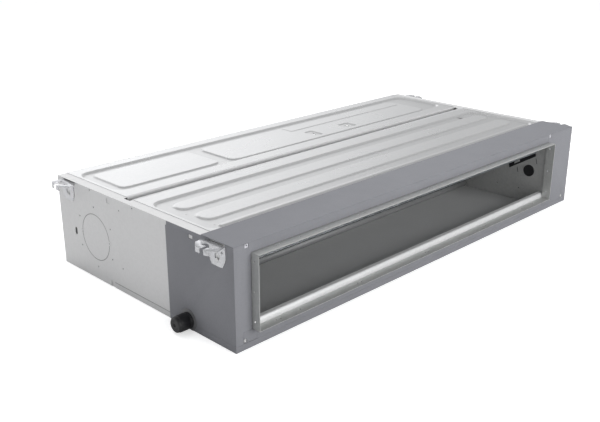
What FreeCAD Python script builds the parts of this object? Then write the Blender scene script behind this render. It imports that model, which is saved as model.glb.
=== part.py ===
import FreeCAD, Part
import math
import os

V = FreeCAD.Vector

# Casing, millimetres. X runs along the outlet, Y from the outlet to the return side, Z up.
unit_width = 1400.0
unit_depth = 700.0
unit_height = 245.0
sheet = 1.0
foam = 1.5
lap = 0.3

# Outlet collar and the closed pipe chamber on its right
collar_margin = 48.0
pipe_chamber = 142.0
collar_bottom = 43.0
collar_top_drop = 24.5
collar_reach = 23.0
collar_flange = 10.0
duct_hole_radius = 2.25
duct_hole_pitch = 268.0
duct_hole_pair = 13.0
duct_hole_rows = 70.5
wall_setback = 7.0

# Foam skins and bottom covers
side_foam_depth = 233.0
top_foam_depth = 106.0
tray_wall = 15.0
tray_past_deck = 51.0
tray_step = 17.0

# Top covers
border_band = 19.0
right_border_band = 41.0
groove_from_rear = 280.0
groove_width = 21.0
groove_depth = 12.0
emboss_depth = 4.5
pad_height = 3.2
pad_slope = 5.0
emboss_corner = 26.0
dent_depth = 2.4
dent_hole_half = 4.5

# Fan deck
deck_from_rear = 290.0

# Coil
coil_tilt = 30.0
tube_pitch = 21.0
row_pitch = 19.0
coil_rows = 3
tube_radius = 4.75
coil_foot_before_deck = 120.0
coil_top_from_front = 34.0
coil_foot_height = 34.0
coil_left_gap = 43.0

# Drain pan and drain
pan_floor = 12.0
pan_rim = 13.5
lip_height = 58.0
drain_from_front = 162.0
drain_height = 22.5
drain_bore = 12.5
drain_tube = 16.0
cap_radius = 19.8
cap_length = 38.0

# Fans
wheel_radius = 80.0
wheel_width = 160.0
blade_count = 26
shaft_radius = 6.0
shaft_clearance = 0.05
scroll_wall = 2.0
scroll_start_radius = 90.0
scroll_growth = 10.0
wheel_side_gap = 8.0
scroll_inlet_radius = 60.0
fan_from_rear = 175.0
fan_height = 112.0
fan_set_pitch = 630.0
scroll_to_motor = 87.0
motor_radius = 54.0
motor_half_length = 48.0
ring_radius = 24.0
boss_radius = 16.0

# Return side
filter_thickness = 8.0
filter_frame = 12.0
filter_from_rear = 12.0
return_sill = 20.0
return_top_drop = 20.0
return_reach = 23.0

# Hanging brackets
bracket_sheet = 2.0
bracket_from_end = 59.0
bracket_top_drop = 7.0
hanger_slot_width = 11.5
hanger_slot_length = 38.0
hanger_slot_out = 17.5

# Fresh-air knock-out on the left side
fresh_air_radius = 61.0
knockout_slit = 0.9
fresh_air_screw_circle = 160.0
fresh_air_from_rear = 165.6
fresh_air_height = 115.7

# Refrigerant unions on the right side
gas_radius = 7.94
liquid_radius = 4.76
gas_from_front = 105.0
liquid_from_front = 165.0
gas_height = 95.0
liquid_height = 78.0
union_reach = 48.0

# Planes worked out from the sizes above
side = unit_width / 2
front = -unit_depth / 2
rear = unit_depth / 2
side_skin = side - foam
front_skin = front + foam
rear_skin = rear - foam
top_skin = unit_height - foam
top_under = top_skin - sheet
flange_under = top_under - sheet
inner_side = side_skin - sheet
folded_side = inner_side - lap
tray_gap = tray_wall + lap
collar_left = -side + collar_margin
collar_right = side - pipe_chamber
collar_top = unit_height - collar_top_drop
collar_middle = (collar_left + collar_right) / 2
wall_x = collar_right + wall_setback
deck_y = rear - deck_from_rear
groove_y = rear - groove_from_rear - groove_width
front_dent = (side - 146, side - 126, groove_y - 83, groove_y - 59)
fan_y = rear - fan_from_rear
fan_middle = (wall_x - side) / 2
scroll_half_width = wheel_width / 2 + wheel_side_gap
fan_arm = scroll_half_width + scroll_to_motor
drain_y = front + drain_from_front
filter_y = rear - filter_from_rear - filter_thickness / 2


def box(x0, x1, y0, y1, z0, z1):
    """A block between two corners."""
    return Part.makeBox(x1 - x0, y1 - y0, z1 - z0, V(x0, y0, z0))


def rod(start, direction, radius, length):
    """A round bar from a point along a direction."""
    return Part.makeCylinder(radius, length, V(*start), V(*direction))


def rods(centres, direction, radius, length):
    """Equal round bars, as one compound for a pattern of holes."""
    return Part.makeCompound([rod(c, direction, radius, length) for c in centres])


def prism_x(outline, x0, x1):
    """A (y, z) outline carried along X."""
    points = [V(x0, y, z) for y, z in outline]
    face = Part.Face(Part.makePolygon(points + points[:1]))
    return face.extrude(V(x1 - x0, 0, 0))


def prism_z(outline, z0, z1):
    """An (x, y) outline carried along Z."""
    points = [V(x, y, z0) for x, y in outline]
    face = Part.Face(Part.makePolygon(points + points[:1]))
    return face.extrude(V(0, 0, z1 - z0))


def folded_outline(path, thickness):
    """The outline of a bent sheet: a path, and the same path moved to its left by the thickness."""
    normals = []
    for (a0, b0), (a1, b1) in zip(path, path[1:]):
        length = math.hypot(a1 - a0, b1 - b0)
        normals.append((-(b1 - b0) / length, (a1 - a0) / length))
    inner = []
    for i, (a, b) in enumerate(path):
        n0 = normals[max(i - 1, 0)]
        n1 = normals[min(i, len(normals) - 1)]
        share = thickness / (1 + n0[0] * n1[0] + n0[1] * n1[1])
        inner.append((a + (n0[0] + n1[0]) * share, b + (n0[1] + n1[1]) * share))
    return path + inner[::-1]


def fused(shapes):
    """Several touching solids as one."""
    return shapes[0].multiFuse(shapes[1:]).removeSplitter()


def mirrored_x(shape):
    """The same piece on the other side."""
    return shape.mirror(V(0, 0, 0), V(1, 0, 0))


def mirrored_y(shape):
    """The same piece at the other end."""
    return shape.mirror(V(0, 0, 0), V(0, 1, 0))


def rounded_wire(x0, x1, y0, y1, radius, z):
    """A rectangle with round corners, at height z."""
    r = radius
    c = r * (1 - math.sqrt(0.5))
    p = [V(x0 + r, y0, z), V(x1 - r, y0, z), V(x1, y0 + r, z), V(x1, y1 - r, z),
         V(x1 - r, y1, z), V(x0 + r, y1, z), V(x0, y1 - r, z), V(x0, y0 + r, z)]
    m = [V(x1 - c, y0 + c, z), V(x1 - c, y1 - c, z), V(x0 + c, y1 - c, z), V(x0 + c, y0 + c, z)]
    edges = []
    for i in range(4):
        edges.append(Part.LineSegment(p[2 * i], p[2 * i + 1]).toShape())
        edges.append(Part.Arc(p[2 * i + 1], m[i], p[(2 * i + 2) % 8]).toShape())
    return Part.Wire(edges)


def frustum(x0, x1, y0, y1, radius, z_wide, z_narrow, slope):
    """A flat-topped block with round corners and sloping sides, widest at z_wide."""
    wide = rounded_wire(x0, x1, y0, y1, radius, z_wide)
    narrow = rounded_wire(x0 + slope, x1 - slope, y0 + slope, y1 - slope, radius - slope, z_narrow)
    return Part.makeLoft([wide, narrow], True, True)


def ring_frame(x0, x1, y0, y1, z0, z1, hole):
    """A block with a rectangular window through it along Y; hole is (x0, x1, z0, z1)."""
    window = box(hole[0], hole[1], y0 - 1, y1 + 1, hole[2], hole[3])
    return box(x0, x1, y0, y1, z0, z1).cut(window)


def pipe_along(points, bend, radius):
    """A round pipe along straight runs joined by tangent arcs of one bend radius."""
    edges = []
    last = points[0]
    for before, corner, after in zip(points, points[1:], points[2:]):
        u = (before - corner).normalize()
        w = (after - corner).normalize()
        half = u.getAngle(w) / 2
        reach = bend / math.tan(half)
        middle = (u + w).normalize() * (bend / math.sin(half) - bend)
        start = corner + u * reach
        end = corner + w * reach
        edges.append(Part.LineSegment(last, start).toShape())
        edges.append(Part.Arc(start, corner + middle, end).toShape())
        last = end
    edges.append(Part.LineSegment(last, points[-1]).toShape())
    section = Part.Wire([Part.Circle(points[0], points[1] - points[0], radius).toShape()])
    return Part.Wire(edges).makePipeShell([section], True, False)


# Hanging brackets

bracket_y = rear - bracket_from_end
fork_top = unit_height - bracket_top_drop
fork_reach = 40.5
keyhole_y = -6.0
keyhole_drop = 35.0


def bracket_plate_outline():
    """The upright plate's outline in (y, z), about the bracket's middle, for the front brackets."""
    return [(-33.5, fork_top), (-33.5, fork_top - 28.5), (-24.0, fork_top - 48.5),
            (-16.0, fork_top - 50.5), (13.0, fork_top - 49.5), (20.0, fork_top - 34.0), (20.0, fork_top)]


def bracket_front_left():
    """A hanging bracket: upright plate with a keyhole, and a fork bent outwards with a T-shaped slot."""
    y = -bracket_y
    x = -side_skin
    outline = [(y + a, b) for a, b in bracket_plate_outline()]
    plate = prism_x(outline, x - bracket_sheet, x)
    fork_outline = [(0, 26), (9.5, 38), (25, 36.5), (fork_reach, 17), (fork_reach, -13),
                    (fork_reach - 3.5, -23), (27, -37.5), (0, -30)]
    fork = prism_z([(x - a, y + b) for a, b in fork_outline], fork_top - bracket_sheet, fork_top)
    lip_drop = 12.0
    rear_lip = box(x - fork_reach, x - fork_reach + bracket_sheet, y + 3.5, y + 17, fork_top - lip_drop, fork_top)
    front_lip = box(x - fork_reach, x - fork_reach + bracket_sheet, y - 13, y - 9.5, fork_top - lip_drop, fork_top)
    tip_lip = prism_z([(x - fork_reach, y - 13), (x - fork_reach + 3.5, y - 23), (x - fork_reach + 5.5, y - 22),
                       (x - fork_reach + 2, y - 12)], fork_top - lip_drop, fork_top)
    slot_half = hanger_slot_width / 2
    centre = x - hanger_slot_out
    run = hanger_slot_length / 2 - slot_half
    low = fork_top - bracket_sheet - 1
    slot = fused([box(centre - slot_half, centre + slot_half, y - run, y + run, low, fork_top + 1),
                  rod((centre, y - run, low), (0, 0, 1), slot_half, bracket_sheet + 2),
                  rod((centre, y + run, low), (0, 0, 1), slot_half, bracket_sheet + 2)])
    entry_y = y - 3
    entry = box(x - fork_reach - 1, centre, entry_y - 5.75, entry_y + 5.75, fork_top - lip_drop - 1, fork_top + 1)
    keyhole = fused([rod((x - bracket_sheet - 1, y + keyhole_y, fork_top - keyhole_drop + 8), (1, 0, 0), 8, 4),
                     rod((x - bracket_sheet - 1, y + keyhole_y, fork_top - keyhole_drop), (1, 0, 0), 2.6, 4),
                     box(x - bracket_sheet - 1, x + 1, y + keyhole_y - 2.6, y + keyhole_y + 2.6,
                         fork_top - keyhole_drop, fork_top - keyhole_drop + 8)])
    round_hole = rod((x - bracket_sheet - 1, y - 22, fork_top - 15), (1, 0, 0), 3, 4)
    body = fused([plate, fork, rear_lip, front_lip, tip_lip])
    return body.cut([slot, entry, keyhole, round_hole])


def bracket_window():
    """The room round a front bracket that the foam leaves free, and the slit above its fork."""
    y = -bracket_y
    points = [V(-side - 1, y + a, b) for a, b in bracket_plate_outline()]
    face = Part.Face(Part.makePolygon(points + points[:1]))
    grown = face.makeOffset2D(0.8, join=2).extrude(V(foam + 2, 0, 0))
    slit = box(-side - 1, -side_skin + 1, y - 31, y + 20, fork_top - 1, top_skin)
    root = box(-side - 1, -side_skin + 1, y - 32, y + 30, fork_top - bracket_sheet - 0.5, fork_top + 0.5)
    return fused([grown, slit, root])


# Sheet-metal casing

screw_head_radius = 4.0
screw_head_height = 1.6
screw_shank_radius = 1.9
screw_hole_radius = 2.1
screw_shank = 8.0
front_screw_shank = 3.2
front_screw_x = side - 26.0
front_screw_z = 21.7
return_screw_x = side - 10.0
return_screw_heights = (40.0, 120.0, 200.0)
flange_reach = 32.0
side_front = front_skin + sheet + lap
side_rear = rear_skin - sheet - lap
tray_end = deck_y + tray_past_deck
skirt_front = side_front + sheet + lap
fresh_air_y = rear - fresh_air_from_rear


def side_sheet():
    """The left side sheet: stepped in behind the front tray, with flanges at the top and the rear."""
    plate = box(-side_skin, -inner_side, side_front, side_rear, tray_gap, top_under)
    rear_foot = box(-side_skin, -inner_side, tray_end + tray_step, side_rear, 0, tray_gap)
    step = box(-side_skin, -folded_side + sheet, skirt_front, tray_end, tray_gap, tray_gap + sheet)
    skirt = box(-folded_side, -folded_side + sheet, skirt_front, tray_end, sheet + lap, tray_gap)
    top_flange = box(-side_skin, -side + flange_reach, side_front, side_rear, flange_under, top_under)
    rear_flange = box(-side_skin, -side + 17, side_rear - sheet, side_rear, tray_gap, top_under)
    shape = fused([plate, rear_foot, step, skirt, top_flange, rear_flange])
    small_holes = [(rear - 152.8, unit_height - 7.8), (rear - 279.5, unit_height - 29.3),
                   (rear - 336.2, unit_height - 8.8), (rear - 278.9, 64.9)]
    holes = [rod((-side, y, z), (1, 0, 0), screw_hole_radius, 5) for y, z in small_holes]
    for sy in (-1, 1):
        holes.append(rod((-side, sy * (bracket_y - keyhole_y), fork_top - keyhole_drop), (1, 0, 0),
                         screw_hole_radius, 5))
        middle = sy * bracket_y
        holes.append(box(-side, -inner_side + 0.5, middle - 26, middle + 26, fork_top + 0.6, flange_under - 0.4))
    for z in return_screw_heights:
        holes.append(rod((-return_screw_x, rear, z), (0, -1, 0), screw_hole_radius, 6))
    return shape.cut(holes)


def left_side_panel():
    """The left side sheet with the fresh-air opening, the drain hole and the groove's open end."""
    y, z = fresh_air_y, fresh_air_height
    cuts = [rod((-side, y, z), (1, 0, 0), fresh_air_radius, 4)]
    cuts += [rod((-side, y + a, z + b), (1, 0, 0), screw_hole_radius, 4) for a, b in fresh_air_screws()]
    cuts.append(box(-side, -side + 4, rear - 240, rear - 228, unit_height - 21.4, unit_height - 9.4))
    cuts.append(fused([box(-side, -side + 4, rear - 77, rear - 67, 103, 113),
                       rod((-side, rear - 72, 103), (1, 0, 0), 5, 4), rod((-side, rear - 72, 113), (1, 0, 0), 5, 4)]))
    cuts.append(rod((-side, drain_y, drain_height), (1, 0, 0), drain_tube + 1, 5))
    cuts.append(box(-side + border_band - lap, 0, groove_y - 2, groove_y + groove_width + 2, flange_under - 1, unit_height))
    return side_sheet().cut(cuts)


def fresh_air_screws():
    """The six screw holes round the fresh-air opening, from its centre."""
    r = fresh_air_screw_circle / 2
    return [(r * math.cos(math.radians(30 + 60 * k)), r * math.sin(math.radians(30 + 60 * k))) for k in range(6)]


def fresh_air_knockout():
    """The disc that closes the fresh-air opening, held by four small bridges."""
    y, z = fresh_air_y, fresh_air_height
    disc = rod((-side_skin, y, z), (1, 0, 0), fresh_air_radius - knockout_slit, sheet)
    reach = fresh_air_radius + 2.5
    bridges = [box(-side_skin - 0.6, -side_skin, y + s * reach - 4, y + s * reach + 4, z + b - 1.5, z + b + 1.5)
               for s in (-1, 1) for b in (-4, 4)]
    return fused([disc] + bridges)


# Openings of the right side sheet, as (y from, y to, z from, z to)

wiring_opening = (rear - 255.0, rear - 35.0, 35.0, 165.0)
piping_opening = (front + 70.0, front + 190.0, 62.0, 130.0)
cover_margin = 15.0
plate_margin = 10.0
cover_screw_inset = 5.0
gland_radius = 8.0
gland_z = unit_height - 29.0
gland_centres = ((rear - 200.0, gland_z), (rear - 150.0, gland_z))


def margin_corners(opening, margin, inset):
    """The four screw places of a plate that covers an opening."""
    y0, y1, z0, z1 = opening
    reach = margin - inset
    return [(y, z) for y in (y0 - reach, y1 + reach) for z in (z0 - reach, z1 + reach)]


def right_side_panel():
    """The right side sheet with the openings for the wiring, the piping and the cables."""
    shape = mirrored_x(side_sheet())
    tongue = box(side - right_border_band, side - flange_reach, groove_y - 15, groove_y + groove_width + 15,
                 flange_under, top_under)
    notch = box(0, side - right_border_band + 7.5, groove_y + 13.7, groove_y + groove_width, flange_under, unit_height)
    shape = shape.fuse(tongue).removeSplitter().cut(notch)
    cuts = [box(inner_side - 1, side, *opening) for opening in (wiring_opening, piping_opening)]
    screws = margin_corners(wiring_opening, cover_margin, cover_screw_inset)
    screws += margin_corners(piping_opening, plate_margin, cover_screw_inset)
    cuts += [rod((side, y, z), (-1, 0, 0), screw_hole_radius, 4) for y, z in screws]
    cuts += [rod((side, y, z), (-1, 0, 0), gland_radius + 0.2, 4) for y, z in gland_centres]
    return shape.cut(cuts)


def embossed(block, pocket, pads, dents):
    """A pressed cover: a block with its pocket, pads and dents, kept only as thick as the sheet."""
    shape = block.cut(pocket)
    shape = shape.multiFuse(pads).removeSplitter()
    shape = shape.cut(dents)
    below = shape.copy()
    below.translate(V(0, 0, -sheet))
    return shape.cut(below)


pocket_left = -side + 34.0
pocket_right = side - 40.0
pocket_floor = top_skin - emboss_depth
pad_top = pocket_floor + pad_height


def cover_fold(y0):
    """A cover's edge folded down beside the groove."""
    return box(-side + border_band, side - right_border_band - lap, y0, y0 + sheet,
               top_skin - groove_depth + lap, top_under)


def dents_and_holes(places, surface):
    """Sunk rectangles below a surface, each with a small hole in its middle."""
    dents = []
    holes = []
    for x0, x1, y0, y1 in places:
        dents.append(frustum(x0, x1, y0, y1, 6.0, surface, surface - dent_depth, 4.0))
        x, y = (x0 + x1) / 2, (y0 + y1) / 2
        holes.append(box(x - dent_hole_half, x + dent_hole_half, y - 1.4 * dent_hole_half, y + 1.4 * dent_hole_half,
                         surface - 2 * dent_depth, surface))
    return dents, holes


def front_top_cover():
    """The cover over the coil: three raised pads and a pierced dent in one sunk pocket, its edge folded down."""
    block = box(-side + border_band, side - border_band, front_skin, groove_y, 200, top_skin)
    pocket = frustum(pocket_left, pocket_right, front + 107, groove_y - 52, emboss_corner,
                     top_skin, pocket_floor, pad_slope)
    bands = [(groove_y - 144, groove_y - 86), (groove_y - 234, groove_y - 171), (front + 118, front + 136)]
    pads = [frustum(pocket_left + 32, pocket_right - 25, y0, y1, 8.0, pocket_floor, pad_top, 3.0) for y0, y1 in bands]
    dents, holes = dents_and_holes([front_dent], pocket_floor)
    return fused([embossed(block, pocket, pads, dents).cut(holes), cover_fold(groove_y - sheet)])


def rear_top_cover():
    """The cover over the fans: two raised pads, a strip and two pierced dents in one sunk pocket."""
    y0 = groove_y + groove_width
    block = box(-side + border_band, side - border_band, y0, rear_skin, 200, top_skin)
    pocket = frustum(pocket_left, pocket_right, rear - 232, rear - 36, emboss_corner + 4,
                     top_skin, pocket_floor, pad_slope)
    pads = [frustum(-side + 60, -side + 378, rear - 212, rear - 60, 12.0, pocket_floor, pad_top, 4.0),
            frustum(-side + 410, side - 122, rear - 222, rear - 60, 22.0, pocket_floor, pad_top, 4.0),
            frustum(-side + 736, side - 140, rear - 117, rear - 65, 8.0, pad_top, pad_top + 1.2, 2.5)]
    places = [(-side + 758, -side + 791, rear - 204, rear - 147), (-side + 899, -side + 946, rear - 204, rear - 156)]
    dents, holes = dents_and_holes(places, pad_top)
    return fused([embossed(block, pocket, pads, dents).cut(holes), cover_fold(y0)])


def outlet_face_frame():
    """The front sheet round the outlet, stepped in behind the tray, with flanges to the sides and the top."""
    y1 = front_skin + sheet
    window = (collar_left - lap, collar_right + lap, collar_bottom - lap, collar_top + lap)
    plate = ring_frame(-side_skin, side_skin, front_skin, y1, tray_gap, top_under, window)
    step = box(-folded_side, folded_side, y1, y1 + sheet + lap, tray_gap, tray_gap + sheet)
    skirt = box(-folded_side, folded_side, y1 + lap, y1 + lap + sheet, sheet + lap, tray_gap + sheet)
    left = box(-folded_side, -folded_side + sheet, y1, y1 + 10, tray_gap + sheet + lap, flange_under - lap)
    top = box(-side + 40.5, side - 43, y1, y1 + 17, flange_under, top_under)
    holes = [rod((x, front, z), (0, 1, 0), 2.0, 4) for x, z in front_tab_holes()]
    holes += [rod((s * front_screw_x, front, front_screw_z), (0, 1, 0), screw_hole_radius, 4) for s in (-1, 1)]
    return fused([plate, step, skirt, left, mirrored_x(left), top]).cut(holes)


def front_tab_holes():
    """The two small holes at the front sheet's top edge."""
    return [(-side + 35.5, unit_height - 5.0), (collar_right + 7.6, unit_height - 5.5)]


def outlet_collar():
    """The duct collar of the outlet: four folded strips, each with a flange behind the front sheet."""
    x0, x1, z0, z1 = collar_left, collar_right, collar_bottom, collar_top
    lip = front - collar_reach
    root = front_skin + sheet + lap
    back = root + sheet
    low, high = z0 + sheet + lap, z1 - sheet - lap
    strips = [fused([box(x0, x1, lip, back, z1 - sheet, z1), box(x0, x1, root, back, z1, z1 + collar_flange)]),
              fused([box(x0, x1, lip, back, z0, z0 + sheet), box(x0, x1, root, back, z0 - collar_flange, z0)]),
              fused([box(x0, x0 + sheet, lip, back, low, high), box(x0 - collar_flange, x0, root, back, low, high)]),
              fused([box(x1 - sheet, x1, lip, back, low, high), box(x1, x1 + collar_flange, root, back, low, high)])]
    hole_y = front - 8.0
    cross = [(x, hole_y, z0 - 1) for x in duct_hole_columns()]
    middle = (z0 + z1) / 2
    along = [(x0 - 1, hole_y, middle + k * duct_hole_rows) for k in (-1, 0, 1)]
    holes = [rods(cross, (0, 0, 1), duct_hole_radius, unit_height), rods(along, (1, 0, 0), duct_hole_radius, unit_width)]
    return Part.makeCompound([strip.cut(holes) for strip in strips])


def duct_hole_columns():
    """The screw holes along the collar's long sides: close pairs, and one more near each end."""
    half = duct_hole_pair / 2
    columns = [collar_middle + k * duct_hole_pitch + s * half for k in (-2, -1, 0, 1, 2) for s in (-1, 1)]
    return columns + [collar_middle + s * 469.0 for s in (-1, 1)]


# Bottom covers

def front_bottom_cover():
    """The tray under the coil, with a low wall at its front and both ends."""
    floor = box(-side_skin, side_skin, front_skin, tray_end, 0, sheet)
    nose = box(-side_skin, side_skin, front_skin, front_skin + sheet, sheet, tray_wall)
    left = box(-side_skin, -inner_side, front_skin, tray_end, sheet, tray_wall)
    drain = rod((-side, drain_y, drain_height), (1, 0, 0), drain_tube + 1, 5)
    return fused([floor, nose, left, mirrored_x(left)]).cut(drain)


def rear_bottom_cover():
    """The cover under the fans, bent up all round, its rear edge one side of the filter slot."""
    y0 = tray_end + lap
    y1 = filter_y - filter_slot_half - rail_wall - lap
    outer = box(-folded_side, folded_side, y0, y1, 0, tray_wall)
    return outer.cut(box(-folded_side + sheet, folded_side - sheet, y0 + sheet, y1 - sheet, sheet, tray_wall + 1))


# Foam skins

def foam_skin_top():
    """The foam over the front of the top."""
    return box(-side, side, front, front + top_foam_depth, top_skin, unit_height)


def side_foam():
    """The foam on the left side over the coil, cut along the tray's edge and round the bracket."""
    y0 = front_skin
    y1 = front + side_foam_depth
    raised = box(-side, -side_skin, y0, front + top_foam_depth, tray_gap, top_skin)
    main = box(-side, -side_skin, front + top_foam_depth, y1, tray_gap, top_under)
    upper = fused([raised, main]).cut(bracket_window())
    lower = box(-side, -side_skin, y0, y1, 0, tray_wall)
    return upper, lower


def foam_skin_left():
    """The left foam with its two small windows and the drain hole."""
    upper, lower = side_foam()
    drain = rod((-side - 1, drain_y, drain_height), (1, 0, 0), drain_tube + 1, 4)
    windows = [box(-side - 1, -side_skin + 1, front + 135.5, front + 150, unit_height - 21, unit_height - 12),
               box(-side - 1, -side_skin + 1, front + 229, front + 240, unit_height - 13, top_skin)]
    return Part.makeCompound([upper.cut(windows + [drain]), lower.cut(drain)])


def foam_skin_right():
    """The right foam with the room for the pipe plate."""
    upper, lower = side_foam()
    y0, y1, z0, z1 = piping_opening
    room = plate_margin + 1
    plate = box(side_skin - 1, side + 1, y0 - room, y1 + room, z0 - room, z1 + room)
    return Part.makeCompound([mirrored_x(upper).cut(plate), mirrored_x(lower)])


def foam_skin_front():
    """The front foam round the collar, with its seam, the two tab windows and the corner patches."""
    window = (collar_left - 0.8, collar_right + 0.8, collar_bottom - 0.8, collar_top + 0.8)
    upper = ring_frame(-side, side, front, front_skin, tray_gap, top_skin, window)
    y0, y1 = front - 1, front_skin + 1
    cuts = [box(collar_right - 2.3, collar_right - 1.7, y0, y1, tray_gap - 1, top_skin + 1)]
    cuts += [box(x - 5.5, x + 5.5, y0, y1, z - 5.5, top_skin + 1) for x, z in front_tab_holes()]
    patch = box(-side + 21, collar_left + 12, y0, y1, tray_gap - 1, collar_bottom)
    cuts.append(patch)
    cuts.append(rod((front_screw_x, front - 1, front_screw_z), (0, 1, 0), screw_head_radius + 1, 4))
    lower = box(-side, side, front, front_skin, 0, tray_wall)
    return Part.makeCompound(upper.cut(cuts).Solids + [lower])


# Coil, leaning forward over the drain pan

lean = (-math.cos(math.radians(coil_tilt)), math.sin(math.radians(coil_tilt)))
through = (math.sin(math.radians(coil_tilt)), math.cos(math.radians(coil_tilt)))
coil_foot = (deck_y - coil_foot_before_deck, coil_foot_height)
coil_room = (coil_foot[0] - front - coil_top_from_front) / math.cos(math.radians(coil_tilt))
tubes_per_row = 2 * int(coil_room / (2 * tube_pitch))
coil_length = tubes_per_row * tube_pitch
coil_depth = coil_rows * row_pitch
coil_left = -side + coil_left_gap + 3.0
coil_right = wall_x - sheet - 0.5
end_plate = 1.0
bend_stub = 4.0
end_plate_rim = 3.0


def coil_place(s, n):
    """A (y, z) place in the coil: s along its face, n through its thickness."""
    return (coil_foot[0] + lean[0] * s + through[0] * n, coil_foot[1] + lean[1] * s + through[1] * n)


def coil_rectangle(rim):
    """The coil's section grown by a rim."""
    ends = [(-rim, -rim), (coil_length + rim, -rim), (coil_length + rim, coil_depth + rim), (-rim, coil_depth + rim)]
    return [coil_place(s, n) for s, n in ends]


def tube_place(row, j):
    """The (y, z) centre of one tube."""
    return coil_place((j + 0.5) * tube_pitch, (row + 0.5) * row_pitch)


def coil_fin_pack():
    """The pack of fins on its tubes, as one block."""
    return prism_x(coil_rectangle(0), coil_left, coil_right)


def coil_end_plates():
    """The two end plates; the left one has a foot in the pan and an ear under the top cover."""
    left = prism_x(coil_rectangle(end_plate_rim), coil_left - end_plate, coil_left)
    x0, x1 = coil_left - end_plate, coil_left
    foot = box(x0, x1, coil_foot[0], coil_foot[0] + 25, pan_floor + lap, coil_foot_height + 6)
    top_y, top_z = coil_place(coil_length, coil_depth)
    ear = box(x0, x1, top_y - 14, top_y + 4, top_z - 14, flange_under - lap)
    right = prism_x(coil_rectangle(end_plate_rim), coil_right, coil_right + end_plate)
    return Part.makeCompound([fused([left, foot, ear]), right])


def return_bend(x, out, a, b):
    """A U-bend between two tube ends at (y, z) places a and b, standing out along X."""
    start = V(x, a[0], a[1])
    end = V(x, b[0], b[1])
    reach = V(out * bend_stub, 0, 0)
    across = end - start
    stubs = [Part.makeCylinder(tube_radius, bend_stub, p, V(out, 0, 0)) for p in (start, end)]
    section = Part.Face(Part.Wire([Part.Circle(start + reach, V(out, 0, 0), tube_radius).toShape()]))
    axis = V(out, 0, 0).cross(across).normalize()
    arch = section.revolve(start + reach + across * 0.5, axis, 180)
    if arch.BoundBox.XMax * out < (x + out * bend_stub) * out:
        arch = section.revolve(start + reach + across * 0.5, axis * -1, 180)
    return fused([arch] + stubs)


def coil_return_bends():
    """The U-bends: along each row on the left, from row to row on the right."""
    bends = []
    for k in range(tubes_per_row // 2):
        low, high = 2 * k, 2 * k + 1
        for row in range(coil_rows):
            bends.append(return_bend(coil_left - end_plate, -1, tube_place(row, low), tube_place(row, high)))
        bends.append(return_bend(coil_right + end_plate, 1, tube_place(0, high), tube_place(1, high)))
        bends.append(return_bend(coil_right + end_plate, 1, tube_place(1, low), tube_place(2, low)))
    return Part.makeCompound(bends)


header_x = coil_right + 36.0
header_radius = 11.0
stub_radius = 4.0
liquid_hub_x = side - 60.0
liquid_hub_radius = 9.0
capillary_radius = 1.6
pipe_wall = 0.8
liquid_y = front + liquid_from_front
gas_y = front + gas_from_front


def coil_gas_header():
    """The suction header along the coil's upper face with one branch to each circuit."""
    row = coil_rows - 1
    y0, z0 = coil_place(8, (row + 0.5) * row_pitch)
    body = rod((header_x, y0, z0), (0, lean[0], lean[1]), header_radius, coil_length - 16)
    branches = []
    for k in range(tubes_per_row // 2):
        y, z = tube_place(row, 2 * k + 1)
        branches.append(rod((coil_right + end_plate, y, z), (1, 0, 0), stub_radius, header_x - coil_right))
    return fused([body] + branches)


def coil_liquid_distributor():
    """The liquid distributor with one thin pipe to each circuit."""
    hub = rod((liquid_hub_x, liquid_y, liquid_height), (-1, 0, 0), liquid_hub_radius, 22)
    pieces = [hub]
    count = tubes_per_row // 2
    for k in range(count):
        y, z = tube_place(0, 2 * k)
        turn = 2 * math.pi * k / count
        a = V(liquid_hub_x - 20, liquid_y + 5 * math.cos(turn), liquid_height + 5 * math.sin(turn))
        x1 = coil_right + 14.0
        points = [a, V(liquid_hub_x - 34 - 2 * k, a.y, a.z), V(x1, y, z), V(coil_right + end_plate, y, z)]
        pieces.append(pipe_along(points, 5.0, capillary_radius))
    return fused(pieces)


def gas_pipe():
    """The suction pipe from the header to the right side."""
    y, z = coil_place(70, (coil_rows - 0.5) * row_pitch)
    points = [V(header_x + header_radius - 1, y, z), V(side - 50, y, z), V(side - 50, gas_y, gas_height),
              V(side + union_reach, gas_y, gas_height)]
    header = rod((header_x, y - lean[0] * 30, z - lean[1] * 30), (0, lean[0], lean[1]), header_radius, 60)
    bore = rod(points[-1], (-1, 0, 0), gas_radius - pipe_wall, union_reach)
    return pipe_along(points, 22.0, gas_radius).cut([header, bore])


def liquid_pipe():
    """The liquid pipe from the right side to the distributor."""
    pipe = rod((liquid_hub_x, liquid_y, liquid_height), (1, 0, 0), liquid_radius, side + union_reach - liquid_hub_x)
    bore = rod((side + union_reach, liquid_y, liquid_height), (-1, 0, 0), liquid_radius - pipe_wall, union_reach)
    return pipe.cut(bore)


def flare_nut(y, z, radius, across_flats, length):
    """A hexagon nut with a round collar on its pipe."""
    corner = across_flats / math.sqrt(3)
    x0 = side + 12.0
    points = [V(x0, y + corner * math.cos(math.pi * k / 3), z + corner * math.sin(math.pi * k / 3)) for k in range(6)]
    hexagon = Part.Face(Part.makePolygon(points + points[:1])).extrude(V(length * 0.6, 0, 0))
    neck = rod((x0 + length * 0.6, y, z), (1, 0, 0), across_flats * 0.42, length * 0.4)
    return fused([hexagon, neck]).cut(rod((x0 - 1, y, z), (1, 0, 0), radius, length + 2))


def flare_nuts():
    """The two nuts on the refrigerant pipes."""
    return Part.makeCompound([flare_nut(gas_y, gas_height, gas_radius, 29.0, 24.0),
                              flare_nut(liquid_y, liquid_height, liquid_radius, 22.0, 20.0)])


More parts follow.
